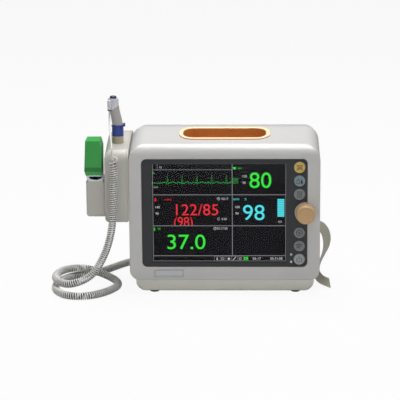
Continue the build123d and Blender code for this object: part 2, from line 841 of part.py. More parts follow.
def platen_roller():
    y = (paper_y - paper_width / 2 - 0.5, paper_y + paper_width / 2 + 0.3)
    return rod_y(platen_radius, platen_x, y, platen_z) - rod_y(platen_shaft, platen_x, (0, 200), platen_z)


def platen_axle():
    shaft = rod_y(platen_shaft, platen_x, (recorder_y[0] + 1.0, recorder_y[1] - 1.0), platen_z)
    x, z, angle = pinion_place()
    return shaft + gear_solid(platen_x, platen_z, gear_teeth, angle)


def paper_roll():
    y = (paper_y - paper_width / 2, paper_y + paper_width / 2)
    return rod_y(roll_radius, roll_x, y, roll_z) - rod_y(roll_core, roll_x, (0, 200), roll_z)


def paper_strip():
    """The printed strip: out of the slot, round in a bulge, and its curled end near the table."""
    top = platen_z + platen_radius + 0.3 + paper_thick / 2
    line = Polyline((platen_x - 4, top), (half_width + 0.5, top))
    curve = Spline(
        (half_width + 0.5, top), (134.5, 70.5), (138.9, 54.0), (131.0, 33.0), (124.6, 15.5), (128.0, 6.0), (136.5, 1.2),
        tangents=((1, -0.15), (1, -0.35)),
    )
    face = trace(line + curve, paper_thick)
    start = paper_y - paper_width / 2
    plane = Plane(origin=(0, start + paper_width, 0), x_dir=(1, 0, 0), z_dir=(0, -1, 0))
    return plane * extrude(face, amount=paper_width)


# ---------------------------------------------------------------- thermometer module
def module_solid(inset):
    """The module as a solid, made smaller all round by the inset."""
    x = (module_left, module_right)
    low_round = (module_low_corner, module_seam_corner)
    high_round = (module_corner, seam_edge)
    return rounded_body(x, module_depth, crest_z - module_drop, module_bottom, low_round, high_round, inset)


def plug_cut(radius, y):
    return rod_y(radius, module_x, y, plug_z)


def module_shell():
    """Housing of the thermometer module; its right side is closed by the cover."""
    part = module_solid(0) - module_solid(module_wall)
    part = part - block((module_right - module_wall, module_right + 1), (-5, 200), (0, 300))
    part = part - rod_z(well_ring_radius + 0.05, module_x, well_y, (180, 260))
    part = part + rod_z(well_radius + 2.0, module_x, well_y, (module_bottom + 1, well_bottom + 4))
    part = part - rod_z(well_radius + 0.05, module_x, well_y, (well_bottom, 150))
    part = part - plug_cut(plug_radius + 0.05, (module_depth - 5, module_depth + 5))
    return part.solids().sort_by(SortBy.VOLUME)[-1]


def module_cover():
    """Side plate that mates with the casing, with two spacers for the board."""
    plate = module_solid(0) & block((module_right - module_wall, module_right), (-5, 200), (0, 300))
    for y, z in ((66, 112), (104, 112), (66, 168), (104, 160)):
        plate = plate + rod_x(2.5, (module_right - module_wall - 3.0, module_right - 1), y, z)
    return plate


def module_board():
    x = module_right - module_wall - 3.0
    board = block((x - 1.6, x), (58, 111), (106, 176))
    board = board + block((x - 6, x - 1.4), (70, 90), (124, 144))
    return board + block((x - 17, x - 1.4), (98, 110), (plug_z - 7, plug_z + 7))


def well_tube():
    """Probe well: a long tube whose ring stands out of the module's top."""
    base = crest_z - module_drop - (crest_y - well_y) * tan(radians(top_slope)) - 6
    tube = rod_z(well_radius, module_x, well_y, (well_bottom, ring_top))
    tube = tube + rod_z(well_ring_radius, module_x, well_y, (base, ring_top))
    return tube - rod_z(well_bore, module_x, well_y, (well_bottom + 2, ring_top + 1))


def well_collar():
    """Coloured collar on the ring, with a rim and a pull tab on its right."""
    collar = rod_z(collar_radius, module_x, well_y, (ring_top, collar_top))
    rim = rod_z(collar_radius + 0.5, module_x, well_y, (collar_top - 1.8, collar_top))
    x = (module_x + grip_radius + 0.3, module_x + tab_reach)
    tab = block(x, (well_y - 3, well_y + 3), (collar_top - 1.8, collar_top + 2.2))
    return collar + rim + tab - rod_z(collar_bore, module_x, well_y, (ring_top - 1, collar_top + 5))


# ---------------------------------------------------------------- probe
def probe_slice():
    """Everything above and left of the slanting line where the head meets the handle."""
    right = module_x + 12
    low = probe_top - head_drop
    points = [(right, probe_top - 2), (module_x - 6.8, low), (module_x - 40, low)]
    points += [(module_x - 40, probe_top + 20), (right, probe_top + 20)]
    plane = Plane(origin=(0, well_y + 30, 0), x_dir=(1, 0, 0), z_dir=(0, -1, 0))
    return plane * extrude(polygon(points), amount=60)


def probe_stem():
    """Lofted grip: round at the collar, leaning to the left and flatter at the top."""
    top_x = module_x - probe_lean
    sections = [
        Pos(module_x, well_y, seat_z) * Circle(grip_radius),
        Pos(module_x - 0.38 * probe_lean, well_y, seat_z + 11) * Ellipse(grip_radius - 0.3, grip_radius - 0.4),
        Pos(module_x - 0.69 * probe_lean, well_y, seat_z + 19.5) * Ellipse(grip_radius - 0.5, grip_radius - 0.5),
        Pos(top_x, well_y, probe_top) * Ellipse(grip_radius + 0.1, grip_radius - 0.3),
    ]
    return loft(sections)


def cord_exit():
    """The point under the probe's head where the cord leaves it."""
    return (module_x - spout_x, well_y - 4.5, probe_top - head_drop)


def probe_handle():
    part = probe_stem() - probe_slice()
    part = part + rod_z(collar_bore - 0.2, module_x, well_y, (seat_z - 6, seat_z + 0.5))
    return part - rod_z(probe_shaft_radius, module_x, well_y, (seat_z - 10, seat_z - 1))


def probe_head():
    """White head with the cord spout under its left side and a bore for the button."""
    x, y, z = cord_exit()
    part = probe_stem() & probe_slice()
    spout = rod_z(spout_radius, x, y, (z, probe_top - 1.5))
    part = part + chamfer(spout.edges().sort_by(Axis.Z)[-1], 1.0)
    part = part + block((x - spout_radius + 0.4, x + 4), (y, well_y + 2), (probe_top - 10, probe_top - 2.5))
    top_x = module_x - probe_lean
    part = part - rod_z(button_radius + 0.1, top_x, well_y, (probe_top - 11, probe_top + 5))
    return part.solids().sort_by(SortBy.VOLUME)[-1]


def probe_button():
    top_x = module_x - probe_lean
    cap = rod_z(button_radius, top_x, well_y, (probe_top - 7.3, probe_top + button_proud))
    return fillet(cap.edges().sort_by(Axis.Z)[-1], 2.2)


def probe_shaft():
    rod = rod_z(probe_shaft_radius, module_x, well_y, (probe_tip_z, seat_z - 1))
    return fillet(rod.edges().sort_by(Axis.Z)[0], probe_shaft_radius * 0.9)


# ---------------------------------------------------------------- cover holder and carton
def holder_x():
    return module_left - holder_width, module_left - 0.1


def cover_holder():
    """Open pocket on the module's left side that holds a carton of probe covers."""
    x = holder_x()
    y = (holder_front, holder_front + holder_depth)
    body = block(x, y, (holder_bottom, holder_lip))
    outer_edges = body.edges().filter_by(Axis.Y).sort_by(Axis.Z)[:2].sort_by(Axis.X)[:1]
    body = fillet(outer_edges, 4.0)
    body = soften(body, body.edges().filter_by(Axis.Z).sort_by(Axis.X)[:2], 3.0)
    inner = block(
        (x[0] + holder_wall, x[1] - holder_wall), (y[0] + holder_wall, y[1] - holder_wall),
        (holder_bottom + holder_wall + 2, holder_lip + 1),
    )
    return body - inner


def carton_x():
    x = holder_x()
    return x[0] + holder_wall + carton_gap, x[1] - holder_wall - carton_gap


def carton_span():
    start = holder_front + holder_wall + carton_gap
    return start, holder_front + holder_depth - holder_wall - carton_gap


def carton_inside():
    """How far the carton is hollow, from left to right."""
    left, right = carton_x()
    return left + card_thick, right - hood_step - card_thick


def cover_carton():
    """Tapered carton: a straight foot in the holder and a hood that narrows to the top."""
    left, right = carton_x()
    low = holder_bottom + holder_wall + 2.3
    points = [
        (left, low), (left, holder_lip + 1), (left - 2.2, carton_mouth), (left - 4.4, carton_mouth + 7),
        (left - 2.6, carton_top), (right - 4.2, carton_top), (right - 1.6, carton_top - 9),
        (right - hood_step, carton_mouth + 9), (right - hood_step, holder_lip + 3), (right, holder_lip + 0.5),
        (right, low),
    ]
    start, end = carton_span()
    plane = Plane(origin=(0, end, 0), x_dir=(1, 0, 0), z_dir=(0, -1, 0))
    body = plane * extrude(polygon(points), amount=end - start)
    inside = block(carton_inside(), (start + card_thick, end - card_thick), (low + card_thick, carton_top - 24))
    mouth = Pos((left + right) / 2, start, carton_mouth) * Rot(90, 0, 0) * extrude(Ellipse(8.6, 6.4), amount=6, both=True)
    return body - inside - (mouth & block((-300, 0), (0, 100), (0, carton_mouth)))


def probe_covers():
    """Disposable covers standing in the carton, closed at the lower end."""
    left, right = carton_inside()
    start, end = carton_span()
    low = holder_bottom + holder_wall + 3.4
    covers = []
    for column in range(2):
        for row in range(3):
            x = (left + right) / 2 + (column - 0.5) * cover_pitch
            y = (start + end) / 2 + 1.6 + (row - 1) * 8.9
            cone = Pos(x, y, low + 24) * Cone(2.9, cover_radius, 48)
            flange = rod_z(cover_radius + cover_flange, x, y, (low + 47.6, low + 48.8))
            covers.append(cone + flange)
    return covers


# ---------------------------------------------------------------- cord
coil_low = coil_diameter / 2 + 0.1           # centre height of a turn that lies on the table
coil_high = coil_low + coil_diameter + 0.25  # and of one that lies on another
coil_route = [
    (-140.8, -7.6, 181.5), (-139.6, -7.6, 158.0), (-140.7, -7.8, 128.0), (-141.6, -8.2, 98.0),
    (-146.9, -8.8, 71.0), (-157.0, -9.4, 46.0), (-171.5, -10.8, 25.6), (-197.7, -11.5, coil_high),
    (-216.8, 7.0, coil_high), (-222.8, 40.0, coil_high), (-214.0, 69.5, coil_high),
    (-187.8, 80.4, coil_high), (-164.7, 66.6, 11.6), (-143.3, 53.5, coil_low), (-137.7, 25.5, coil_low),
    (-151.2, -5.0, coil_low), (-173.5, -26.5, coil_low), (-200.5, -24.5, coil_low),
    (-218.2, 0.0, coil_low), (-221.4, 32.0, coil_low), (-211.7, 64.0, coil_low),
    (-192.1, 83.0, coil_low), (-169.8, 94.0, coil_low), (-153.0, 119.0, coil_low),
    (-137.0, 145.0, coil_low), (-116.0, 165.0, coil_low), (-101.0, 178.0, 21.0), (-98.0, 183.0, 47.0),
]
plug_lead_middle = [
    (-99.5, 185.0, 73.0), (-107.0, 182.5, 89.0), (-119.0, 178.0, 105.0), (-130.0, 173.0, 117.0),
]


def beyond(end, before, distance):
    """The point that lies straight on past the end of a run."""
    run = Vector(*end) - Vector(*before)
    point = Vector(*end) + run.normalized() * distance
    return (point.X, point.Y, point.Z)


def probe_lead_route():
    """From under the probe's head to the top of the coil, which it meets in line."""
    x, y, z = cord_exit()
    last = beyond(coil_route[0], coil_route[1], 12.0)
    middle = [(x, y, z - 8.0), (x + 0.3, y - 9.0, z - 19.0)]
    return [(x, y, z), *middle, last, coil_route[0]]


def plug_lead_route():
    """From the rear end of the coil, in line with it, up and straight into the plug."""
    first = beyond(coil_route[-1], coil_route[-2], 12.0)
    end = module_depth + plug_length + relief_length
    return [coil_route[-1], first, *plug_lead_middle, (module_x, end + 14.0, plug_z), (module_x, end, plug_z)]


def tube_radii(points):
    """Radius at each inner point: 0.45 of the shorter run over the tangent of half the turn."""
    radii = []
    for before, here, after in zip(points, points[1:], points[2:]):
        first = Vector(*here) - Vector(*before)
        second = Vector(*after) - Vector(*here)
        turn = radians(first.get_angle(second))
        radii.append(0.45 * min(first.length, second.length) / tan(turn / 2))
    return radii


def cord_tube(name, points, diameter):
    """A round tube of straight runs and tangent arcs; prints its own check values."""
    radii = tube_radii(points)
    path = FilletPolyline(*points, radius=radii)
    start = Plane(origin=path @ 0, z_dir=path % 0)
    tube = sweep(start * Circle(diameter / 2), path=path)
    ratio = tube.volume / (pi * diameter**2 / 4 * path.length)
    print(f"{name}: length {path.length:.1f}, volume ratio {ratio:.4f}, radii {[round(r, 1) for r in radii]}")
    return tube


def probe_plug():
    """Connector of the cord, pushed into the rear of the module."""
    body = rod_y(plug_radius, module_x, (module_depth - module_wall, module_depth + plug_length), plug_z)
    body = chamfer(body.edges().sort_by(Axis.Y)[-1], 1.2)
    start = Plane(origin=(module_x, module_depth + plug_length, plug_z), z_dir=(0, 1, 0))
    relief = start * (Pos(0, 0, relief_length / 2) * Cone(3.6, 2.2, relief_length))
    return body + relief


# ---------------------------------------------------------------- assembly
def build():
    """Every node by name, as one solid or a list of separate solids."""
    shell = full_shell()
    rear = hinge_socket_cut(battery_pin_holes(rear_shell(shell)))
    pieces = {
        "front_shell": hinge_socket_cut(front_shell(shell)),
        "rear_shell": rear,
        "base_plinth": base_plinth(),
        "rubber_feet": rubber_feet(),
        "mount_inserts": mount_inserts(),
        "screen_bezel": screen_bezel(),
        "screen_window": screen_window(),
        "lcd_panel": lcd_panel(),
        "lcd_frame": lcd_frame(),
        "key_mat": key_mat(),
        "key_board": key_board(),
        "encoder_body": encoder_body(),
        "encoder_plunger": encoder_plunger(),
        "encoder_shaft": encoder_shaft(),
        "knob": knob(),
        "indicator_lights": indicator_lights(),
        "label_plate": label_plate(),
        "handle_liner": handle_liner(),
        "chassis_plate": chassis_plate(),
        "main_board": main_board(),
        "power_supply": power_supply(),
        "battery_pack": battery_pack(),
        "battery_door": battery_door(),
        "cuff_pump": cuff_pump(),
        "speaker": speaker(),
        "power_inlet": power_inlet(),
        "data_sockets": data_sockets(),
        "patient_ports": patient_ports(),
        "shell_screws": shell_screws(),
        "recorder_housing": recorder_housing(),
        "print_head": print_head(),
        "recorder_motor": recorder_motor(),
        "motor_pinion": motor_pinion(),
        "recorder_door": recorder_door(),
        "recorder_latch": recorder_latch(),
        "platen_roller": platen_roller(),
        "platen_axle": platen_axle(),
        "paper_roll": paper_roll(),
        "paper_strip": paper_strip(),
        "module_shell": module_shell(),
        "module_cover": module_cover(),
        "module_board": module_board(),
        "well_tube": well_tube(),
        "well_collar": well_collar(),
        "probe_handle": probe_handle(),
        "probe_head": probe_head(),
        "probe_button": probe_button(),
        "probe_shaft": probe_shaft(),
        "cover_holder": cover_holder(),
        "cover_carton": cover_carton(),
        "probe_covers": probe_covers(),
        "probe_plug": probe_plug(),
    }
    for name, z in zip(key_names, key_heights()):
        pieces[name] = key_cap(z)
    cords = {
        "curly_cord": cord_tube("curly cord", coil_route, coil_diameter),
        "cord_leads": [
            cord_tube("lead at the probe", probe_lead_route(), lead_diameter),
            cord_tube("lead at the plug", plug_lead_route(), lead_diameter),
        ],
    }
    return pieces, cords


def as_compound(piece):
    solids = piece if isinstance(piece, list) else [piece]
    return Compound([solid for item in solids for solid in item.solids()])


def main():
    pieces, cords = build()
    box = Compound([as_compound(piece) for name, piece in pieces.items() if name != "probe_plug"]).bounding_box()
    move = Pos(-(box.min.X + box.max.X) / 2, -(box.min.Y + box.max.Y) / 2, 0)
    print("moved by", tuple(round(value, 4) for value in move.position), "box", box.min, box.max)
    for name, piece in {**pieces, **cords}.items():
        export_step(move * as_compound(piece), f"parts/{name}.step")


main()
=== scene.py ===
"""A bedside patient monitor with its clip-on thermometer, strip recorder and curly probe cord."""

import logging
import random
from dataclasses import dataclass
from enum import Enum
from math import ceil, cos, pi, radians, sin
from typing import Any, Callable, Iterable, Optional, Sequence

import bpy
from mathutils import Matrix, Vector


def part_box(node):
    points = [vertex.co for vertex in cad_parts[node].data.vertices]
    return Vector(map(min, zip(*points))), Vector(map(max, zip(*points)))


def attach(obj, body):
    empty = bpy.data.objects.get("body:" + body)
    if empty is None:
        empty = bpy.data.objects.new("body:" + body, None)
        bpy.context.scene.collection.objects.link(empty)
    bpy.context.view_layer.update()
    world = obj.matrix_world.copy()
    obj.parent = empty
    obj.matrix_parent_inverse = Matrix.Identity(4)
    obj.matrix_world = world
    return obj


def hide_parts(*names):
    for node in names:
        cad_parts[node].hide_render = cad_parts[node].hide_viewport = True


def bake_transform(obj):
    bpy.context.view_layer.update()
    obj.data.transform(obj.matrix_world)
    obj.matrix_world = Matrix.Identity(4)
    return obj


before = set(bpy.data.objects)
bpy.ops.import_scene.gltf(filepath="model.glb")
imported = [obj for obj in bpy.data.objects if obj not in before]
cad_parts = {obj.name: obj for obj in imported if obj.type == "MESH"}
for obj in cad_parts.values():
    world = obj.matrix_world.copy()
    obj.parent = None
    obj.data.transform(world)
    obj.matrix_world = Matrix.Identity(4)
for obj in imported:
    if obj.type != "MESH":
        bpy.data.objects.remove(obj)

logging.basicConfig(level=logging.INFO, format="%(message)s")
LOG = logging.getLogger("monitor")

MM = 0.001
# The middle of the casing's front face at table height, in the row frame.
FRONT_MIDDLE = Vector((19.622 * MM, -63.35 * MM, 0.0))
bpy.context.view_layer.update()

# The cord's own measure of how far a point lies out from the coil's middle; it sets the painted shade between
# turns.
OUTWARD = "outward"

Point = tuple[float, float, float]
Flat = tuple[float, float]
Colour = tuple[float, float, float, float]
WHITE: Colour = (1.0, 1.0, 1.0, 1.0)
BLACK: Colour = (0.0, 0.0, 0.0, 1.0)
Values = Optional[dict[Any, Any]]
Links = Optional[dict[Any, bpy.types.NodeSocket]]
Start = tuple[bpy.types.Material, bpy.types.NodeTree, bpy.types.Node, bpy.types.NodeSocket]


# ------------------------------------------------------------------ small helpers
def at(x: float, y: float, z: float) -> Vector:
    """A place given in millimetres from the casing's front middle at table height.

    Args:
        x: To the right of the casing's centre.
        y: Behind the front face.
        z: Above the table.

    Returns:
        The place in the row frame, in metres.
    """
    return FRONT_MIDDLE + Vector((x, y, z)) * MM


def linear(code: str) -> Colour:
    """Turn an sRGB hex colour into linear light.

    Args:
        code: Six hex digits, with or without a leading hash.

    Returns:
        Red, green, blue and an alpha of 1.
    """
    digits = code.lstrip("#")
    parts = [int(digits[i : i + 2], 16) / 255 for i in (0, 2, 4)]
    light = [c / 12.92 if c <= 0.04045 else ((c + 0.055) / 1.055) ** 2.4 for c in parts]
    return (light[0], light[1], light[2], 1.0)


def add_node(
    tree: bpy.types.NodeTree,
    kind: str,
    values: Values = None,
    links: Links = None,
    **settings: Any,
) -> bpy.types.Node:
    """Add a shader node with its settings, its fixed inputs and its links.

    Args:
        tree: The node tree that gets it.
        kind: Blender's name for the node type.
        values: Input name or index to a fixed value.
        links: Input name or index to the socket that feeds it.
        settings: Properties of the node itself.

    Returns:
        The new node.
    """
    node = tree.nodes.new(kind)
    for name, value in settings.items():
        setattr(node, name, value)
    for name, value in (values or {}).items():
        node.inputs[name].default_value = value
    for name, socket in (links or {}).items():
        tree.links.new(socket, node.inputs[name])
    return node


def new_mesh(
    name: str, points: Sequence[Sequence[float]], faces: Sequence[Sequence[int]]
) -> bpy.types.Object:
    """Make a mesh object at the origin and link it to the scene.

    Args:
        name: Name of the object.
        points: Vertices in the row frame, in metres.
        faces: Vertex numbers of each face.

    Returns:
        The object.
    """
    mesh = bpy.data.meshes.new(name)
    mesh.from_pydata([tuple(p) for p in points], [], [tuple(f) for f in faces])
    mesh.validate()
    mesh.update()
    piece = bpy.data.objects.new(name, mesh)
    bpy.context.scene.collection.objects.link(piece)
    return piece


def shade_smooth(piece: bpy.types.Object) -> None:
    """Shade every face of a mesh smoothly."""
    piece.data.polygons.foreach_set("use_smooth", [True] * len(piece.data.polygons))
    piece.data.update()


def dress(piece: bpy.types.Object, material: bpy.types.Material) -> None:
    """Put one material on every slot of a piece.

    Args:
        piece: A mesh object.
        material: The material it gets.
    """
    if not piece.material_slots:
        piece.data.materials.append(material)
    for place in piece.material_slots:
        place.material = material


# ------------------------------------------------------------------ finishes
class Scale(Enum):
    """Real sizes of surface patterns, in millimetres."""

    # an eroded mould's texture, drawn coarser than the real 0.2 so that it shows
    SPARK_TEXTURE = 0.9
    SATIN_TEXTURE = 0.5
    # slow change of tone across a large moulding
    FLOW_CLOUD = 60.0
    # fine lines of rolling, turning or brushing, drawn coarser than they are so that they show
    BRUSH_LINE = 1.6
    PAPER_FIBRE = 0.6
    CARD_FIBRE = 1.1
    GRIME = 18.0
    TRACKS = 2.6
    # nine patches of back light to a metre
    LIGHT_LEAK = 1000.0 / 9.0

    @property
    def per_metre(self) -> float:
        """How many pattern steps fit into a metre."""
        return 1.0 / (self.value * MM)


def start_material(name: str, fixed: Values = None) -> Start:
    """Begin a node material.

    Args:
        name: Name of the material.
        fixed: Constant values for the shader's own inputs.

    Returns:
        The material, its tree, its principled shader and the socket with the place on the piece.
    """
    material = bpy.data.materials.new(name)
    material.use_nodes = True
    tree = material.node_tree
    tree.nodes.clear()
    output = add_node(tree, "ShaderNodeOutputMaterial")
    shader = add_node(tree, "ShaderNodeBsdfPrincipled", fixed)
    tree.links.new(shader.outputs["BSDF"], output.inputs["Surface"])
    place = add_node(tree, "ShaderNodeTexCoord").outputs["Object"]
    return material, tree, shader, place


@dataclass(frozen=True)
class Moulding:
    """Moulded plastic or rubber: even colour, a faint cloud of tone and a fine eroded grain."""

    name: str
    colour: str
    shade: str
    roughness: float
    grain: Scale = Scale.SATIN_TEXTURE
    grain_depth_mm: float = 0.02
    ior: float = 1.52
    edge_mm: float = 0.0
    grain_strength: float = 0.35
    # how far the cloud takes the roughness down and up
    smoother: float = 0.04
    rougher: float = 0.05

    def build(self) -> bpy.types.Material:
        """Make the material."""
        material, tree, shader, place = start_material(self.name, {"IOR": self.ior})
        cloud = add_node(
            tree, "ShaderNodeTexNoise", {"Scale": Scale.FLOW_CLOUD.per_metre, "Detail": 3.0}, {"Vector": place}
        )
        tone = add_node(tree, "ShaderNodeValToRGB", None, {"Fac": cloud.outputs["Fac"]})
        tone.color_ramp.elements[0].color = linear(self.shade)
        tone.color_ramp.elements[0].position = 0.3
        tone.color_ramp.elements[1].color = linear(self.colour)
        tone.color_ramp.elements[1].position = 0.7
        tree.links.new(tone.outputs["Color"], shader.inputs["Base Color"])
        grain = add_node(
            tree, "ShaderNodeTexNoise", {"Scale": self.grain.per_metre, "Detail": 2.0}, {"Vector": place}
        )
        bump = add_node(
            tree,
            "ShaderNodeBump",
            {"Strength": self.grain_strength, "Distance": self.grain_depth_mm * MM},
            {"Height": grain.outputs["Fac"]},
        )
        if self.edge_mm:
            # a mould's edges are never sharp, so the normals roll over along them
            edge = add_node(tree, "ShaderNodeBevel", {"Radius": self.edge_mm * MM}, samples=6)
            tree.links.new(edge.outputs["Normal"], bump.inputs["Normal"])
        tree.links.new(bump.outputs["Normal"], shader.inputs["Normal"])
        rough = add_node(
            tree,
            "ShaderNodeMapRange",
            {"To Min": self.roughness - self.smoother, "To Max": self.roughness + self.rougher},
            {"Value": cloud.outputs["Fac"]},
        )
        tree.links.new(rough.outputs["Result"], shader.inputs["Roughness"])
        return material


@dataclass(frozen=True)
class CordSleeve:
    """Extruded polyurethane: satin pale grey outside each turn, with blue-grey painted shade between turns."""

    name: str = "polyurethane_cord_sleeve"
    outside: str = "e8e6e3"
    # the colour of the painted shade between the turns
    between: str = "4f555e"
    # where the painted shade between two turns starts and ends, as a share of the wire's thickness
    painted_shade_ends: Flat = (0.3, 0.95)

    def build(self) -> bpy.types.Material:
        """Make the material."""
        material, tree, shader, place = start_material(self.name, {"IOR": 1.5})
        outward = add_node(tree, "ShaderNodeAttribute", attribute_name=OUTWARD)
        share = add_node(
            tree,
            "ShaderNodeMapRange",
            dict(zip(("From Min", "From Max"), self.painted_shade_ends)),
            {"Value": outward.outputs["Fac"]},
            interpolation_type="SMOOTHSTEP",
        )
        # painted shade: the wire turns blue-grey towards the coil's middle, between the turns
        tone = add_node(tree, "ShaderNodeMix", None, {"Factor": share.outputs["Result"]}, data_type="RGBA")
        tone.inputs["A"].default_value = linear(self.between)
        tone.inputs["B"].default_value = linear(self.outside)
        tree.links.new(tone.outputs["Result"], shader.inputs["Base Color"])
        grain = add_node(
            tree, "ShaderNodeTexNoise", {"Scale": Scale.SATIN_TEXTURE.per_metre, "Detail": 2.0}, {"Vector": place}
        )
        rough = add_node(
            tree, "ShaderNodeMapRange", {"To Min": 0.36, "To Max": 0.48}, {"Value": grain.outputs["Fac"]}
        )
        tree.links.new(rough.outputs["Result"], shader.inputs["Roughness"])
        return material


@dataclass(frozen=True)
class CartonBoard:
    """Folding box board: varnished green print with a darker band, and bare white board at the tear."""

    name: str = "printed_carton_green"
    green: str = "33a648"
    band: str = "1f7c34"
    bare: str = "eef0f2"
    # heights above the table, in metres
    band_low: float = 0.1600
    band_high: float = 0.1655
    torn_below: float = 0.1550
    # how far the tear wanders up and down in all
    tear_wander: float = 0.0022

    def build(self) -> bpy.types.Material:
        """Make the material."""
        material, tree, shader, place = start_material(self.name, {"Roughness": 0.45})
        height = add_node(tree, "ShaderNodeSeparateXYZ", None, {"Vector": place}).outputs["Z"]
        fibre = add_node(
            tree, "ShaderNodeTexNoise", {"Scale": Scale.CARD_FIBRE.per_metre, "Detail": 5.0}, {"Vector": place}
        ).outputs["Fac"]
        low = add_node(tree, "ShaderNodeMath", {1: self.band_low}, {0: height}, operation="GREATER_THAN")
        high = add_node(tree, "ShaderNodeMath", {1: self.band_high}, {0: height}, operation="LESS_THAN")
        banded = add_node(
            tree, "ShaderNodeMath", None, {0: low.outputs[0], 1: high.outputs[0]}, operation="MULTIPLY"
        ).outputs[0]
        print_colour = add_node(tree, "ShaderNodeMix", None, {"Factor": banded}, data_type="RGBA")
        print_colour.inputs["A"].default_value = linear(self.green)
        print_colour.inputs["B"].default_value = linear(self.band)
        swing = {1: self.tear_wander, 2: -self.tear_wander / 2}
        wander = add_node(tree, "ShaderNodeMath", swing, {0: fibre}, operation="MULTIPLY_ADD").outputs[0]
        edge = add_node(tree, "ShaderNodeMath", None, {0: height, 1: wander}, operation="ADD").outputs[0]
        torn = add_node(tree, "ShaderNodeMath", {1: self.torn_below}, {0: edge}, operation="LESS_THAN")
        tone = add_node(
            tree,
            "ShaderNodeMix",
            None,
            {"Factor": torn.outputs[0], "A": print_colour.outputs["Result"]},
            data_type="RGBA",
        )
        tone.inputs["B"].default_value = linear(self.bare)
        tree.links.new(tone.outputs["Result"], shader.inputs["Base Color"])
        bump = add_node(tree, "ShaderNodeBump", {"Strength": 0.25, "Distance": 0.05 * MM}, {"Height": fibre})
        tree.links.new(bump.outputs["Normal"], shader.inputs["Normal"])
        return material


@dataclass(frozen=True)
class TrayPlastic:
    """Moulded amber polycarbonate: deep amber walls, and a creamy painted highlight on the rim's upward-facing
    top.
    """

    name: str = "polycarbonate_tray_amber"
    # the rim's cream is a painted highlight of the light from above; the wall is the amber's own colour
    rim: str = "f6e0b8"
    wall: str = "d89a58"
    # heights above the table between which the rim's painted highlight comes in, in metres
    lit_rim_heights: Flat = (0.186, 0.196)
    # how far a face must look up to get the rim's painted highlight
    lit_upward_ends: Flat = (0.35, 0.9)

    def build(self) -> bpy.types.Material:
        """Make the material."""
        material, tree, shader, place = start_material(self.name, {"Roughness": 0.4, "IOR": 1.58})
        ends = ("From Min", "From Max")
        # painted highlight: faces high up on the rim that look up get the cream
        normal = add_node(tree, "ShaderNodeNewGeometry").outputs["True Normal"]
        upward = add_node(tree, "ShaderNodeSeparateXYZ", None, {"Vector": normal}).outputs["Z"]
        height = add_node(tree, "ShaderNodeSeparateXYZ", None, {"Vector": place}).outputs["Z"]
        high = add_node(tree, "ShaderNodeMapRange", dict(zip(ends, self.lit_rim_heights)), {"Value": height})
        flat = add_node(tree, "ShaderNodeMapRange", dict(zip(ends, self.lit_upward_ends)), {"Value": upward})
        both = {0: high.outputs["Result"], 1: flat.outputs["Result"]}
        share = add_node(tree, "ShaderNodeMath", None, both, operation="MULTIPLY").outputs[0]
        tone = add_node(tree, "ShaderNodeMix", None, {"Factor": share}, data_type="RGBA")
        tone.inputs["A"].default_value = linear(self.wall)
        tone.inputs["B"].default_value = linear(self.rim)
        tree.links.new(tone.outputs["Result"], shader.inputs["Base Color"])
        grain = add_node(
            tree, "ShaderNodeTexNoise", {"Scale": Scale.SATIN_TEXTURE.per_metre, "Detail": 2.0}, {"Vector": place}
        )
        bump = add_node(
            tree, "ShaderNodeBump", {"Strength": 0.3, "Distance": 0.01 * MM}, {"Height": grain.outputs["Fac"]}
        )
        tree.links.new(bump.outputs["Normal"], shader.inputs["Normal"])
        return material


@dataclass(frozen=True)
class Metal:
    """Sheet, turned or drawn metal with the fine lines of its making."""

    name: str
    colour: str
    roughness: float
    stretch: Point = (1.0, 12.0, 1.0)

    def build(self) -> bpy.types.Material:
        """Make the material."""
        fixed = {"Base Color": linear(self.colour), "Metallic": 1.0}
        material, tree, shader, place = start_material(self.name, fixed)
        turned = add_node(tree, "ShaderNodeMapping", {"Scale": self.stretch}, {"Vector": place})
        lines = add_node(
            tree,
            "ShaderNodeTexNoise",
            {"Scale": Scale.BRUSH_LINE.per_metre, "Detail": 4.0},
            {"Vector": turned.outputs["Vector"]},
        )
        rough = add_node(
            tree,
            "ShaderNodeMapRange",
            {"To Min": self.roughness - 0.08, "To Max": self.roughness + 0.12},
            {"Value": lines.outputs["Fac"]},
        )
        tree.links.new(rough.outputs["Result"], shader.inputs["Roughness"])
        bump = add_node(
            tree, "ShaderNodeBump", {"Strength": 0.2, "Distance": 0.01 * MM}, {"Height": lines.outputs["Fac"]}
        )
        tree.links.new(bump.outputs["Normal"], shader.inputs["Normal"])
        return material


@dataclass(frozen=True)
class SolderMask:
    """Glass-fibre board under green solder mask, with paler copper tracks showing through."""

    name: str = "solder_mask_on_fibreglass"
    colour: str = "175233"
    track: str = "2a7048"
    track_share: float = 0.34

    def build(self) -> bpy.types.Material:
        """Make the material."""
        material, tree, shader, place = start_material(self.name, {"Roughness": 0.35})
        cells = add_node(
            tree,
            "ShaderNodeTexVoronoi",
            {"Scale": Scale.TRACKS.per_metre},
            {"Vector": place},
            distance="MANHATTAN",
            feature="F1",
        )
        tone = add_node(tree, "ShaderNodeValToRGB", None, {"Fac": cells.outputs["Distance"]})
        tone.color_ramp.interpolation = "CONSTANT"
        tone.color_ramp.elements[0].color = linear(self.track)
        tone.color_ramp.elements[1].color = linear(self.colour)
        tone.color_ramp.elements[1].position = self.track_share
        tree.links.new(tone.outputs["Color"], shader.inputs["Base Color"])
        return material


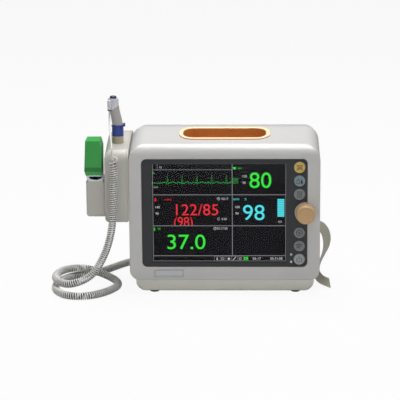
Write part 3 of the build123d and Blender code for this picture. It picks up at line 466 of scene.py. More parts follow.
@dataclass(frozen=True)
class FloatGlass:
    """Polished cover glass with an anti-reflection coat: dark, with hardly any of the room in it."""

    name: str = "polished_cover_glass"
    colour: str = "f6f6f8"
    # the coat leaves about a tenth of bare glass's reflection
    coated_ior: float = 1.12

    def build(self) -> bpy.types.Material:
        """Make the material."""
        fixed = {"Base Color": linear(self.colour), "Transmission Weight": 1.0, "IOR": self.coated_ior}
        material, tree, shader, place = start_material(self.name, fixed)
        film = add_node(
            tree, "ShaderNodeTexNoise", {"Scale": Scale.GRIME.per_metre, "Detail": 4.0}, {"Vector": place}
        )
        rough = add_node(
            tree, "ShaderNodeMapRange", {"To Min": 0.0, "To Max": 0.012}, {"Value": film.outputs["Fac"]}
        )
        tree.links.new(rough.outputs["Result"], shader.inputs["Roughness"])
        return material


@dataclass(frozen=True)
class LitDots:
    """The lit dots of a display picture: they give their own light, faintly banded row by row."""

    name: str
    colour: str
    strength: float = 1.0
    # bands 2.6 mm apart, drawn coarser than the real 0.2 mm rows so that they show
    band_scale: float = 120.0
    dimmest: float = 0.93

    def build(self) -> bpy.types.Material:
        """Make the material."""
        fixed = {"Base Color": BLACK, "Roughness": 0.9, "Emission Strength": self.strength}
        material, tree, shader, place = start_material(self.name, fixed)
        rows = add_node(
            tree,
            "ShaderNodeTexWave",
            {"Scale": self.band_scale, "Distortion": 0.0},
            {"Vector": place},
            bands_direction="Z",
        )
        tone = add_node(tree, "ShaderNodeValToRGB", None, {"Fac": rows.outputs["Fac"]})
        tone.color_ramp.elements[0].color = (*(c * self.dimmest for c in linear(self.colour)[:3]), 1.0)
        tone.color_ramp.elements[1].color = linear(self.colour)
        tree.links.new(tone.outputs["Color"], shader.inputs["Emission Color"])
        return material


@dataclass(frozen=True)
class DisplayFace:
    """The dark face of a liquid-crystal panel, with a little back light leaking through."""

    name: str = "display_panel_face"
    dark: str = "0f0f12"
    leak: str = "141317"
    glow: float = 0.5
    # the polariser's anti-glare skin reflects very little
    reflects: float = 0.05

    def build(self) -> bpy.types.Material:
        """Make the material."""
        fixed = {"Emission Strength": self.glow, "Roughness": 0.7, "Specular IOR Level": self.reflects}
        material, tree, shader, place = start_material(self.name, fixed)
        leak = add_node(
            tree, "ShaderNodeTexNoise", {"Scale": Scale.LIGHT_LEAK.per_metre, "Detail": 2.0}, {"Vector": place}
        )
        tone = add_node(tree, "ShaderNodeValToRGB", None, {"Fac": leak.outputs["Fac"]})
        tone.color_ramp.elements[0].color = linear(self.dark)
        tone.color_ramp.elements[1].color = linear(self.leak)
        tree.links.new(tone.outputs["Color"], shader.inputs["Base Color"])
        tree.links.new(tone.outputs["Color"], shader.inputs["Emission Color"])
        return material


@dataclass(frozen=True)
class ThermalPaper:
    """Smooth coated recorder paper: matt, with a faint fibre, its white darkened to grey-beige as painted shade.
    """

    name: str = "thermal_chart_paper"
    # both fibre tones are the paper's white darkened as painted shade
    dark: str = "9b978a"
    light: str = "a6a295"

    def build(self) -> bpy.types.Material:
        """Make the material."""
        material, tree, shader, place = start_material(self.name, {"Roughness": 0.55})
        fibre = add_node(
            tree, "ShaderNodeTexNoise", {"Scale": Scale.PAPER_FIBRE.per_metre, "Detail": 3.0}, {"Vector": place}
        )
        tone = add_node(tree, "ShaderNodeValToRGB", None, {"Fac": fibre.outputs["Fac"]})
        tone.color_ramp.elements[0].color = linear(self.dark)
        tone.color_ramp.elements[1].color = linear(self.light)
        tree.links.new(tone.outputs["Color"], shader.inputs["Base Color"])
        bump = add_node(
            tree, "ShaderNodeBump", {"Strength": 0.15, "Distance": 0.02 * MM}, {"Height": fibre.outputs["Fac"]}
        )
        tree.links.new(bump.outputs["Normal"], shader.inputs["Normal"])
        return material


# ------------------------------------------------------------------ studio
@dataclass(frozen=True)
class Lamp:
    """A rectangular soft lamp: places and sizes in metres, power in watts."""

    name: str
    place: Point
    aim: Point
    size: Flat
    power: float

    def build(self) -> None:
        """Hang the lamp."""
        data = bpy.data.lights.new(self.name, "AREA")
        data.shape = "RECTANGLE"
        data.size, data.size_y = self.size
        data.energy = self.power
        lamp = bpy.data.objects.new(self.name, data)
        lamp.location = self.place
        lamp.rotation_euler = (Vector(self.aim) - Vector(self.place)).to_track_quat("-Z", "Y").to_euler()
        bpy.context.scene.collection.objects.link(lamp)


@dataclass
class Studio:
    """Plain pale floor and wall, soft light and the camera."""

    azimuth: float = 1.74
    elevation: float = 12.45
    roll: float = -0.43
    distance_mm: float = 2200.0
    lens_mm: float = 155.9
    aim_mm: Point = (-30.97, 0.0, 124.79)
    sensor_mm: float = 36.0
    room_light: float = 0.17
    # half the floor's width, the backdrop's distance and its height, in metres
    half: float = 6.0
    back: float = 5.0
    high: float = 6.0
    lamps: tuple[Lamp, ...] = (
        Lamp("overhead_softbox", (0.1, 0.05, 2.1), (0.0, 0.0, 0.15), (2.2, 0.8), 56.0),
        Lamp("front_fill", (-2.3, -2.0, 1.0), (0.0, 0.0, 0.1), (1.8, 1.4), 2.2),
        Lamp("table_bounce", (-0.1, -0.72, 0.03), (0.0, -0.05, 0.03), (1.4, 0.3), 0.95),
    )

    def camera(self) -> None:
        """Set up the camera."""
        a, e, r = radians(self.azimuth), radians(self.elevation), radians(self.roll)
        forward = Vector((-sin(a) * cos(e), cos(a) * cos(e), -sin(e)))
        level = Vector((cos(a), sin(a), 0.0))
        up = level.cross(forward)
        right = level * cos(r) + up * sin(r)
        top = up * cos(r) - level * sin(r)
        data = bpy.data.cameras.new("camera")
        data.lens = self.lens_mm
        data.sensor_width = self.sensor_mm
        data.clip_start = 0.05
        data.clip_end = 60.0
        camera = bpy.data.objects.new("camera", data)
        bpy.context.scene.collection.objects.link(camera)
        turn = Matrix((right, top, -forward)).transposed().to_4x4()
        camera.matrix_world = Matrix.Translation(at(*self.aim_mm) - forward * self.distance_mm * MM) @ turn
        bpy.context.scene.camera = camera

    def pale_material(self, name: str, share: float) -> bpy.types.Material:
        """A pale matt surface that the camera sees nearly white.

        Args:
            name: Name of the material.
            share: How much of what the camera sees is the plain white.

        Returns:
            The material.
        """
        material = bpy.data.materials.new(name)
        material.use_nodes = True
        tree = material.node_tree
        tree.nodes.clear()
        output = add_node(tree, "ShaderNodeOutputMaterial")
        paint = add_node(tree, "ShaderNodeBsdfDiffuse", {"Color": linear("cfcfcd")})
        white = add_node(tree, "ShaderNodeEmission", {"Color": WHITE, "Strength": 1.0})
        ray = add_node(tree, "ShaderNodeLightPath")
        through = add_node(
            tree,
            "ShaderNodeMath",
            None,
            {0: ray.outputs["Is Camera Ray"], 1: ray.outputs["Is Transmission Ray"]},
            operation="MAXIMUM",
        )
        amount = add_node(tree, "ShaderNodeMath", {1: share}, {0: through.outputs[0]}, operation="MULTIPLY")
        mix = add_node(
            tree,
            "ShaderNodeMixShader",
            None,
            {0: amount.outputs[0], 1: paint.outputs["BSDF"], 2: white.outputs["Emission"]},
        )
        tree.links.new(mix.outputs["Shader"], output.inputs["Surface"])
        return material

    def room(self) -> None:
        """Floor and backdrop."""
        half, back = self.half, self.back
        near = [(-half, -half, 0.0), (half, -half, 0.0)]
        far = [(-half, back, 0.0), (half, back, 0.0)]
        top = [(half, back, self.high), (-half, back, self.high)]
        floor = new_mesh("floor", [*near, *far[::-1]], [(0, 1, 2, 3)])
        dress(floor, self.pale_material("pale_floor", 0.93))
        wall = new_mesh("backdrop", [*far, *top], [(0, 1, 2, 3)])
        dress(wall, self.pale_material("pale_wall", 1.0))

    def lights(self) -> None:
        """A large soft box overhead, a weak fill, light thrown up by the table and an even world."""
        for lamp in self.lamps:
            lamp.build()
        world = bpy.data.worlds.new("even_room")
        bpy.context.scene.world = world
        world.use_nodes = True
        tree = world.node_tree
        tree.nodes.clear()
        output = add_node(tree, "ShaderNodeOutputWorld")
        ray = add_node(tree, "ShaderNodeLightPath")
        sky = add_node(tree, "ShaderNodeBackground", {"Color": WHITE, "Strength": self.room_light})
        white = add_node(tree, "ShaderNodeBackground", {"Color": WHITE, "Strength": 1.0})
        mix = add_node(
            tree,
            "ShaderNodeMixShader",
            None,
            {0: ray.outputs["Is Camera Ray"], 1: sky.outputs["Background"], 2: white.outputs["Background"]},
        )
        tree.links.new(mix.outputs["Shader"], output.inputs["Surface"])
        bpy.context.scene.view_settings.view_transform = "Standard"


# ------------------------------------------------------------------ cord
@dataclass
class CurlyCord:
    """The probe's cord: a plain lead, a long retractile coil and a second lead to the plug."""

    wire_mm: float = 2.05
    coil_mm: float = 10.2
    pitch_mm: float = 2.8
    loose_pitch_mm: float = 4.2
    steps_per_turn: int = 13
    ramp_mm: float = 3.0
    loose_run_mm: float = 14.0
    eye_mm: float = 2.9
    eye_before_mm: float = 1.5
    straight_step_mm: float = 2.0
    probe_lead_mm: float = 73.0
    plug_lead_mm: float = 108.0
    length_m: float = 7.0
    sides: int = 8
    eye_steps: int = 17
    # control points in millimetres from the casing's front middle
    probe_lead: tuple[Point, ...] = (
        (-146.7, 31.0, 235.4), (-146.7, 31.0, 227.4), (-146.4, 22.0, 216.4), (-141.4, -7.6, 193.5),
    )
    coil: tuple[Point, ...] = (
        (-140.8, -7.6, 181.5), (-139.6, -7.6, 158.0), (-140.7, -7.8, 128.0), (-141.6, -8.2, 98.0),
        (-146.9, -8.8, 71.0), (-157.0, -9.4, 46.0), (-171.5, -10.8, 25.6), (-197.7, -11.5, 15.65),
        (-216.8, 7.0, 15.65), (-222.8, 40.0, 15.65), (-214.0, 69.5, 15.65), (-187.8, 80.4, 15.65),
        (-164.7, 66.6, 11.6), (-143.3, 53.5, 5.2), (-137.7, 25.5, 5.2), (-151.2, -5.0, 5.2),
        (-173.5, -26.5, 5.2), (-200.5, -24.5, 5.2), (-218.2, 0.0, 5.2), (-221.4, 32.0, 5.2),
        (-211.7, 64.0, 5.2), (-192.1, 83.0, 5.2), (-169.8, 94.0, 5.2), (-153.0, 119.0, 5.2),
        (-137.0, 145.0, 5.2), (-116.0, 165.0, 5.2), (-101.0, 178.0, 21.0), (-98.0, 183.0, 47.0),
    )
    plug_lead: tuple[Point, ...] = (
        (-96.7, 185.2, 58.7), (-99.5, 185.0, 73.0), (-107.0, 182.5, 89.0), (-119.0, 178.0, 105.0),
        (-130.0, 173.0, 117.0), (-136.8, 164.5, 125.0), (-136.8, 150.5, 125.0),
    )

    def centre_line(self) -> list[Vector]:
        """Read closely spaced points from a smooth curve through the control points.

        Returns:
            Points in the row frame, from the probe to the plug.
        """
        curve = bpy.data.curves.new("cord_route", "CURVE")
        curve.dimensions = "3D"
        spline = curve.splines.new("NURBS")
        route = [at(*p) for p in (*self.probe_lead, *self.coil, *self.plug_lead)]
        spline.points.add(len(route) - 1)
        for knot, place in zip(spline.points, route):
            knot.co = (*place, 1.0)
        spline.order_u = 3
        spline.use_endpoint_u = True
        spline.resolution_u = 24
        holder = bpy.data.objects.new("cord_route", curve)
        bpy.context.scene.collection.objects.link(holder)
        bpy.context.view_layer.update()
        mesh = bpy.data.meshes.new_from_object(holder)
        points = [v.co.copy() for v in mesh.vertices]
        bpy.data.objects.remove(holder)
        bpy.data.curves.remove(curve)
        bpy.data.meshes.remove(mesh)
        return points

    def walk(self, line: list[Vector]) -> Callable[[float], tuple[Vector, Vector]]:
        """Prepare to read the line by distance.

        Args:
            line: Closely spaced points.

        Returns:
            A function from a distance in metres to the place and direction there.
        """
        distances = [0.0]
        for before, here in zip(line, line[1:]):
            distances.append(distances[-1] + (here - before).length)
        self.total = distances[-1]

        def read(distance: float) -> tuple[Vector, Vector]:
            """The place and direction at a distance along the line."""
            low, high = 0, len(distances) - 2
            while low < high:
                middle = (low + high + 1) // 2
                if distances[middle] <= distance:
                    low = middle
                else:
                    high = middle - 1
            span = max(distances[low + 1] - distances[low], 1e-9)
            share = min(max((distance - distances[low]) / span, 0.0), 1.0)
            place = line[low].lerp(line[low + 1], share)
            ahead = line[min(low + 2, len(line) - 1)] - line[max(low - 1, 0)]
            return place, ahead.normalized()

        return read

    def eye(self, place: Vector) -> list[Vector]:
        """One open turn that faces the front, where the lead runs into the coil.

        Args:
            place: Where the turn starts and ends.

        Returns:
            Points of the wire's own centre.
        """
        turn = []
        for step in range(1, self.eye_steps):
            angle = 2 * pi * step / self.eye_steps
            offset = Vector((1 - cos(angle), -sin(angle / 2), -sin(angle)))
            turn.append(place + offset * self.eye_mm * MM)
        return turn

    def helix(self, line: list[Vector]) -> list[Vector]:
        """Wind the wire round the line, plain at both leads.

        Args:
            line: The centre line.

        Returns:
            Points of the wire's own centre; the turns' own middles go to self.middles.
        """
        read = self.walk(line)
        reach = (self.coil_mm - self.wire_mm) / 2 * MM
        start = self.probe_lead_mm * MM
        end = self.total - self.plug_lead_mm * MM
        ramp = self.ramp_mm * MM
        points: list[Vector] = []
        self.middles: list[Optional[Vector]] = []
        distance, phase = 0.0, pi / 2
        eye_made = False
        _, heading = read(0.0)
        side = heading.orthogonal().normalized()
        while distance < self.total:
            place, heading = read(distance)
            side = (side - heading * side.dot(heading)).normalized()
            other = heading.cross(side)
            inward = min((distance - start) / ramp, (end - distance) / ramp, 1.0)
            if inward <= 0.0:
                points.append(place)
                if distance > start - self.eye_before_mm * MM and not eye_made:
                    points += self.eye(place)
                    eye_made = True
                self.middles += [None] * (len(points) - len(self.middles))
                distance += self.straight_step_mm * MM
                continue
            radius = reach * inward * inward * (3 - 2 * inward)
            points.append(place + (side * cos(phase) + other * sin(phase)) * radius)
            self.middles.append(place if inward > 0.5 else None)
            loose = max(0.0, 1.0 - (distance - start) / (self.loose_run_mm * MM))
            pitch = (self.pitch_mm + (self.loose_pitch_mm - self.pitch_mm) * loose) * MM
            distance += pitch / self.steps_per_turn
            phase += 2 * pi / self.steps_per_turn
        points.append(line[-1])
        self.middles.append(None)
        return points

    def sleeve(self, path: list[Vector]) -> bpy.types.Object:
        """Sweep the round sleeve along the wire.

        Args:
            path: Centre of the wire.

        Returns:
            The cord's mesh object.
        """
        points: list[Vector] = []
        faces: list[tuple[int, ...]] = []
        heading = (path[1] - path[0]).normalized()
        side = heading.orthogonal().normalized()
        for index, place in enumerate(path):
            before, after = path[max(index - 1, 0)], path[min(index + 1, len(path) - 1)]
            heading = (after - before).normalized()
            side = (side - heading * side.dot(heading)).normalized()
            other = heading.cross(side)
            for corner in range(self.sides):
                angle = 2 * pi * corner / self.sides
                points.append(place + (side * cos(angle) + other * sin(angle)) * self.wire_mm / 2 * MM)
            if index:
                base = index * self.sides
                for corner in range(self.sides):
                    ahead = (corner + 1) % self.sides
                    faces.append(
                        (base - self.sides + corner, base - self.sides + ahead, base + ahead, base + corner)
                    )
        faces.append(tuple(range(self.sides))[::-1])
        last = (len(path) - 1) * self.sides
        faces.append(tuple(range(last, last + self.sides)))
        piece = new_mesh("probe_cord", points, faces)
        shade_smooth(piece)
        # how far each point lies out from its turn's middle, which sets the painted shade between turns
        outward = piece.data.attributes.new(OUTWARD, "FLOAT", "POINT")
        reach = (self.coil_mm - self.wire_mm) / 2 * MM
        for index, middle in enumerate(self.middles):
            for corner in range(self.sides):
                vertex = index * self.sides + corner
                share = 1.0
                if middle is not None:
                    share = ((points[vertex] - middle).length - reach) / (self.wire_mm / 2 * MM)
                outward.data[vertex].value = share
        return piece

    def build(self) -> None:
        path = self.helix(self.centre_line())
        wire = sum((b - a).length for a, b in zip(path, path[1:]))
        cord = self.sleeve(path)
        dress(cord, CordSleeve().build())
        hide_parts("curly_cord", "cord_leads")
        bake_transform(cord)
        LOG.info("cord: %d points, wire %.2f m, route %.3f m", len(path), wire, self.total)


# ------------------------------------------------------------------ drawing on flat faces
# How many straight steps make a full ring, a disc and a heart.
RING_STEPS = 28
DISC_STEPS = 20
HEART_STEPS = 24


class Ink:
    """Flat marks on a face, gathered by colour into one mesh each."""

    def __init__(self, corner: Vector, across: Vector, down: Vector, out: Vector) -> None:
        """Set the drawing plane.

        Args:
            corner: Where (0, 0) lies, in the row frame.
            across: One unit to the right.
            down: One unit down.
            out: The unit normal towards the viewer.
        """
        self.corner, self.across, self.down, self.out = corner, across, down, out
        self.points: list[Vector] = []
        self.faces: list[tuple[int, ...]] = []

    def spot(self, u: float, v: float) -> Vector:
        """The place of a drawing point."""
        return self.corner + self.across * u + self.down * v

    def area(self, outline: Iterable[Flat]) -> None:
        """Fill a convex outline."""
        start = len(self.points)
        self.points += [self.spot(u, v) for u, v in outline]
        self.faces.append(tuple(range(start, len(self.points))))

    def bar(self, left: float, top: float, right: float, bottom: float) -> None:
        """Fill an upright rectangle."""
        self.area([(left, bottom), (right, bottom), (right, top), (left, top)])

    def box(self, left: float, top: float, right: float, bottom: float, width: float) -> None:
        """Draw the outline of a rectangle."""
        self.bar(left, top, right, top + width)
        self.bar(left, bottom - width, right, bottom)
        self.bar(left, top + width, left + width, bottom - width)
        self.bar(right - width, top + width, right, bottom - width)

    def line(self, route: Sequence[Flat], width: float) -> None:
        """Draw a line of even width with mitred joints."""
        left: list[Flat] = []
        right: list[Flat] = []
        for index, (u, v) in enumerate(route):
            before, after = route[max(index - 1, 0)], route[min(index + 1, len(route) - 1)]
            first = Vector((u - before[0], v - before[1]))
            second = Vector((after[0] - u, after[1] - v))
            first = first.normalized() if first.length else second.normalized()
            second = second.normalized() if second.length else first
            middle = first + second
            middle = middle.normalized() if middle.length > 1e-6 else first
            normal = Vector((-middle.y, middle.x))
            share = max(normal.dot(Vector((-first.y, first.x))), 0.35)
            offset = normal * (width / 2 / share)
            left.append((u + offset.x, v + offset.y))
            right.append((u - offset.x, v - offset.y))
        for index in range(len(route) - 1):
            self.area([left[index], left[index + 1], right[index + 1], right[index]])

    def ring(
        self, u: float, v: float, radius: float, width: float, start: float = 0.0, turn: float = 2 * pi
    ) -> None:
        """Draw an arc or a full ring."""
        steps = max(6, ceil(turn / (2 * pi) * RING_STEPS))
        angles = [start + turn * i / steps for i in range(steps + 1)]
        self.line([(u + radius * cos(a), v + radius * sin(a)) for a in angles], width)

    def disc(self, u: float, v: float, radius: float) -> None:
        """Fill a circle."""
        angles = [2 * pi * i / DISC_STEPS for i in range(DISC_STEPS)]
        self.area([(u + radius * cos(a), v - radius * sin(a)) for a in angles])

    def text(
        self,
        words: str,
        left: float,
        top: float,
        height: float,
        width: float = 0.0,
        clip: Optional[float] = None,
    ) -> None:
        """Set upright figures.

        Args:
            words: The figures.
            left: Left edge of the first figure.
            top: Top of the figures.
            height: Height of a figure.
            width: Full width of the line; 0 keeps the font's own.
            clip: Nothing is drawn below this v.
        """
        curve = bpy.data.curves.new("figures", "FONT")
        curve.body = words
        curve.fill_mode = "FRONT"
        curve.resolution_u = 5
        holder = bpy.data.objects.new("figures", curve)
        bpy.context.scene.collection.objects.link(holder)
        bpy.context.view_layer.update()
        mesh = bpy.data.meshes.new_from_object(holder.evaluated_get(bpy.context.evaluated_depsgraph_get()))
        spots = [(v.co.x, v.co.y) for v in mesh.vertices]
        low_x, high_x = min(p[0] for p in spots), max(p[0] for p in spots)
        low_y, high_y = min(p[1] for p in spots), max(p[1] for p in spots)
        scale = height / (high_y - low_y)
        squeeze = width / ((high_x - low_x) * scale) if width else 1.0
        start = len(self.points)
        for x, y in spots:
            u, v = left + (x - low_x) * scale * squeeze, top + (high_y - y) * scale
            self.points.append(self.spot(u, v if clip is None else min(v, clip)))
        self.faces += [tuple(start + i for i in face.vertices) for face in mesh.polygons]
        bpy.data.objects.remove(holder)
        bpy.data.curves.remove(curve)
        bpy.data.meshes.remove(mesh)

    def finish(
        self, name: str, material: bpy.types.Material, body: str, slot: str, lift_mm: float = 0.0
    ) -> None:
        """Turn the marks into a piece.

        Args:
            name: Name of the piece.
            material: What it is printed or lit with.
            body: The body it rides on.
            slot: The record's slot it belongs to; not used.
            lift_mm: Extra height over the drawing plane.
        """
        piece = new_mesh(name, [p + self.out * lift_mm * MM for p in self.points], self.faces)
        dress(piece, material)
        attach(piece, body)


@dataclass
class ScreenPicture:
    """What the display shows, laid out on its own grid of 800 by 600 dots."""

    dots: tuple[int, int] = (800, 600)
    size_mm: Flat = (170.4, 127.8)
    middle_mm: Flat = (-6.7, 106.9)
    depth_mm: float = 5.55
    # the dark fields lie this far under the marks
    behind_mm: float = -0.02

    def ink(self) -> Ink:
        """A drawing plane that covers the display."""
        width, height = self.size_mm
        corner = at(self.middle_mm[0] - width / 2, self.depth_mm, self.middle_mm[1] + height / 2)
        across = Vector((width / self.dots[0] * MM, 0.0, 0.0))
        down = Vector((0.0, 0.0, -height / self.dots[1] * MM))
        return Ink(corner, across, down, Vector((0.0, -1.0, 0.0)))

    def frame_lines(self) -> Ink:
        """Dividing lines, and the boxes of the status row."""
        ink = self.ink()
        ink.box(1, 0, 799, 599, 3)
        ink.bar(476, 3, 480, 563)
        ink.bar(3, 36, 476, 39)
        ink.bar(30, 3, 33, 36)
        for v in (188, 378, 563):
            ink.bar(3, v, 797, v + 4)
        for step in range(5):
            ink.box(368 + 35 * step, 567, 370 + 35 * (step + 1), 597, 2)
        return ink

    def white_marks(self) -> Ink:
        """Limits, times and the small signs of the status row."""
        ink = self.ink()
        for words, left, top, height in (
            ("120", 540, 70, 14), ("50", 540, 109, 14), ("140", 18, 258, 14), ("90", 18, 298, 14),
            ("100", 497, 258, 14), ("90", 497, 297, 14), ("02:17", 414, 208, 13), ("4.5", 752, 348, 13),
            ("02:17:50", 386, 390, 13), ("05:31:08", 706, 575, 15), ("06-17", 600, 575, 15),
            ("1mV", 10, 138, 10), ("0:30", 414, 332, 13), ("12", 45, 16, 12),
        ):
            ink.text(words, left, top, height)
        for u, v in ((396, 214), (374, 397)):
            ink.ring(u, v, 8, 2)
            ink.line([(u, v - 5), (u, v), (u + 4, v)], 2)
        ink.ring(397, 338, 7, 2, 0.5, 5.2)
        ink.bar(0, 112, 3, 128)
        ink.line([(386, 573), (386, 592)], 3)
        ink.area([(380, 584), (392, 584), (386, 593)])
        ink.box(412, 577, 428, 589, 2)
        ink.area([(450, 580), (456, 576), (464, 580), (464, 588), (456, 591), (450, 588)])
        ink.line([(481, 592), (498, 573)], 4)
        ink.ring(525, 583, 7, 2)
        return ink

    def beats(self) -> Ink:
        """The electrocardiogram trace: five even beats."""
        ink = self.ink()
        base = 118.0
        route: list[Flat] = [(4, base - 2), (20, base)]
        for beat in range(5):
            u = 91.5 + 88.2 * beat
            route += [
                (u - 30, base), (u - 24, base - 4), (u - 18, base - 5), (u - 12, base), (u - 5, base),
                (u - 4, base + 3), (u, 70.0), (u + 4, base + 5), (u + 6, base), (u + 18, base - 1),
                (u + 26, base - 6), (u + 34, base - 8), (u + 42, base - 2), (u + 48, base),
            ]
        route.append((512, base))
        ink.line(route, 3.0)
        for v in (92, 99, 107):
            ink.line([(482, v), (514, v)], 2.5)
        return ink

    def heart(self, ink: Ink, u: float, v: float, size: float) -> None:
        """Draw a small heart.

        Args:
            ink: Where to draw.
            u: Middle, across.
            v: Middle, down.
            size: Full width.
        """
        outline = []
        for i in range(HEART_STEPS):
            t = 2 * pi * i / HEART_STEPS
            rise = 13 * cos(t) - 5 * cos(2 * t) - 2 * cos(3 * t)
            outline.append((u + size / 2 * sin(t) ** 3, v - size / 32 * rise))
        middle = (u, v)
        for here, after in zip(outline, outline[1:] + outline[:1]):
            ink.area([middle, after, here])

    def green_values(self) -> Ink:
        """Pulse rate and temperature."""
        ink = self.ink()
        ink.text("80", 581, 54, 95, 130)
        ink.text("37.0", 88, 434, 91, 228)
        self.heart(ink, 492, 28, 20)
        ink.text("bpm", 512, 22, 13)
        ink.text("II", 6, 50, 13)
        ink.text("°C", 28, 392, 14)
        ink.line([(11, 390), (11, 404)], 4)
        ink.disc(11, 406, 4)
        for step in range(3):
            ink.bar(548 + 9 * step, 572, 554 + 9 * step, 592)
        return ink

    def red_values(self) -> Ink:
        """Blood pressure."""
        ink = self.ink()
        ink.text("122/85", 141, 247, 69, 253)
        ink.text("(98)", 129, 326, 78, 112, clip=377)
        ink.text("mmHg", 72, 212, 15)
        ink.area([(10, 229), (26, 229), (18, 214)])
        ink.disc(18, 213, 5)
        return ink

    def cyan_values(self) -> Ink:
        """Oxygen saturation and its strength bar."""
        ink = self.ink()
        ink.text("98", 542, 252, 94, 129)
        ink.text("SpO2", 483, 211, 15)
        ink.text("%", 552, 211, 13)
        for step in range(10):
            top = 216 + 11 * step
            ink.bar(748, top, 789, top + 9.4)
        return ink

    def build(self) -> None:
        """Make the picture on the display."""
        for name, ink, colour, strength in (
            ("picture_lines", self.frame_lines(), "8c8c8e", 0.9),
            ("picture_white", self.white_marks(), "dcdcdc", 0.9),
            ("picture_beats", self.beats(), "24b23e", 1.0),
            ("picture_green", self.green_values(), "33f03c", 1.0),
            ("picture_red", self.red_values(), "ee2a32", 1.0),
            ("picture_cyan", self.cyan_values(), "52eaf2", 1.0),
        ):
            ink.finish(name, LitDots(f"lit_{name}", colour, strength).build(), "casing", "display_face")
        black = self.ink()
        black.bar(5, 569, 366, 596)
        black.bar(34, 5, 474, 35)
        unlit = LitDots("unlit_dots", "050505", 0.2).build()
        black.finish("picture_black", unlit, "casing", "display_face", self.behind_mm)
        LOG.info("display picture made")


@dataclass
class KeySigns:
    """Printed signs on the six keys, each riding on its key, and the rim of the label plate."""

    sign_mm: float = 0.03
    enlarge: float = 1.2
    rim_inset_mm: float = 0.9
    rim_width_mm: float = 0.55

    def plane(self, node: str, enlarge: float = 1.0) -> Ink:
        """A drawing plane centred on a node's face, whose unit is a millimetre times the enlargement."""
        low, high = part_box(node)
        middle = Vector(((low.x + high.x) / 2, low.y - self.sign_mm * MM, (low.z + high.z) / 2))
        size = enlarge * MM
        return Ink(middle, Vector((size, 0, 0)), Vector((0, 0, -size)), Vector((0, -1, 0)))

    def bell(self, ink: Ink) -> None:
        """A bell crossed out."""
        ink.ring(0, -0.5, 2.0, 0.5, pi, pi)
        ink.line([(-2.0, -0.6), (-2.2, 1.6), (2.2, 1.6), (2.0, -0.6)], 0.5)
        ink.line([(-3.2, -3.0), (3.2, 3.2)], 0.6)
        ink.line([(3.2, -3.0), (-3.2, 3.2)], 0.6)

    def cuff(self, ink: Ink) -> None:
        """An arm cuff with a drop beside it."""
        ink.box(-3.2, -1.2, 0.4, 2.8, 0.5)
        ink.line([(-1.4, -1.2), (-1.4, -3.2)], 0.6)
        ink.area([(1.2, 2.8), (3.4, 2.8), (3.0, -0.6), (2.3, -2.8), (1.6, -0.6)])

    def page(self, ink: Ink) -> None:
        """A page with lines."""
        ink.box(-2.4, -3.2, 2.4, 3.2, 0.5)
        for step in range(3):
            ink.bar(-1.4, -1.9 + 1.5 * step, 1.4, -1.4 + 1.5 * step)

    def strip(self, ink: Ink) -> None:
        """A strip with a trace on it."""
        ink.ring(0, 0, 3.2, 0.5)
        ink.line([(-2.2, 0.4), (-0.9, 0.4), (-0.3, -1.4), (0.4, 1.6), (1.0, 0.2), (2.2, 0.2)], 0.45)

    def bars(self, ink: Ink) -> None:
        """Three level bars."""
        for step in range(3):
            ink.bar(-3.0, -2.0 + 1.7 * step, 3.0 - 1.2 * step, -1.3 + 1.7 * step)

    def power(self, ink: Ink) -> None:
        """The on and off sign."""
        ink.ring(0, 0.4, 2.7, 0.55, -pi / 2 + 0.7, 2 * pi - 1.4)
        ink.line([(0, -3.3), (0, 0.2)], 0.55)

    def plate_rim(self) -> None:
        """The milled line near the edge of the label plate."""
        low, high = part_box("label_plate")
        half_x = (high.x - low.x) / 2 / MM - self.rim_inset_mm
        half_z = (high.z - low.z) / 2 / MM - self.rim_inset_mm
        rim = self.plane("label_plate")
        rim.box(-half_x, -half_z, half_x, half_z, self.rim_width_mm)
        milled = Metal("milled_plate_rim", "8b8e94", 0.35).build()
        rim.finish("label_plate_rim", milled, "casing", "label_silver")

    def build(self) -> None:
        """Print every key."""
        # pad-printed ink is a matt skin a few thousandths of a millimetre thick
        print_dark = Moulding("pad_print_dark", "1d1f22", "191b1e", 0.6, grain_depth_mm=0.005).build()
        print_red = Moulding("pad_print_red", "5c2626", "502020", 0.6, grain_depth_mm=0.005).build()
        for node, draw, material in (
            ("key_alarm_pause", self.bell, print_red),
            ("key_cuff_start", self.cuff, print_dark),
            ("key_menu", self.page, print_dark),
            ("key_print", self.strip, print_dark),
            ("key_standby", self.bars, print_dark),
            ("key_power", self.power, print_dark),
        ):
            ink = self.plane(node, self.enlarge)
            draw(ink)
            ink.finish(f"{node}_sign", material, node, "key_grey")
        self.plate_rim()
        LOG.info("keys printed")


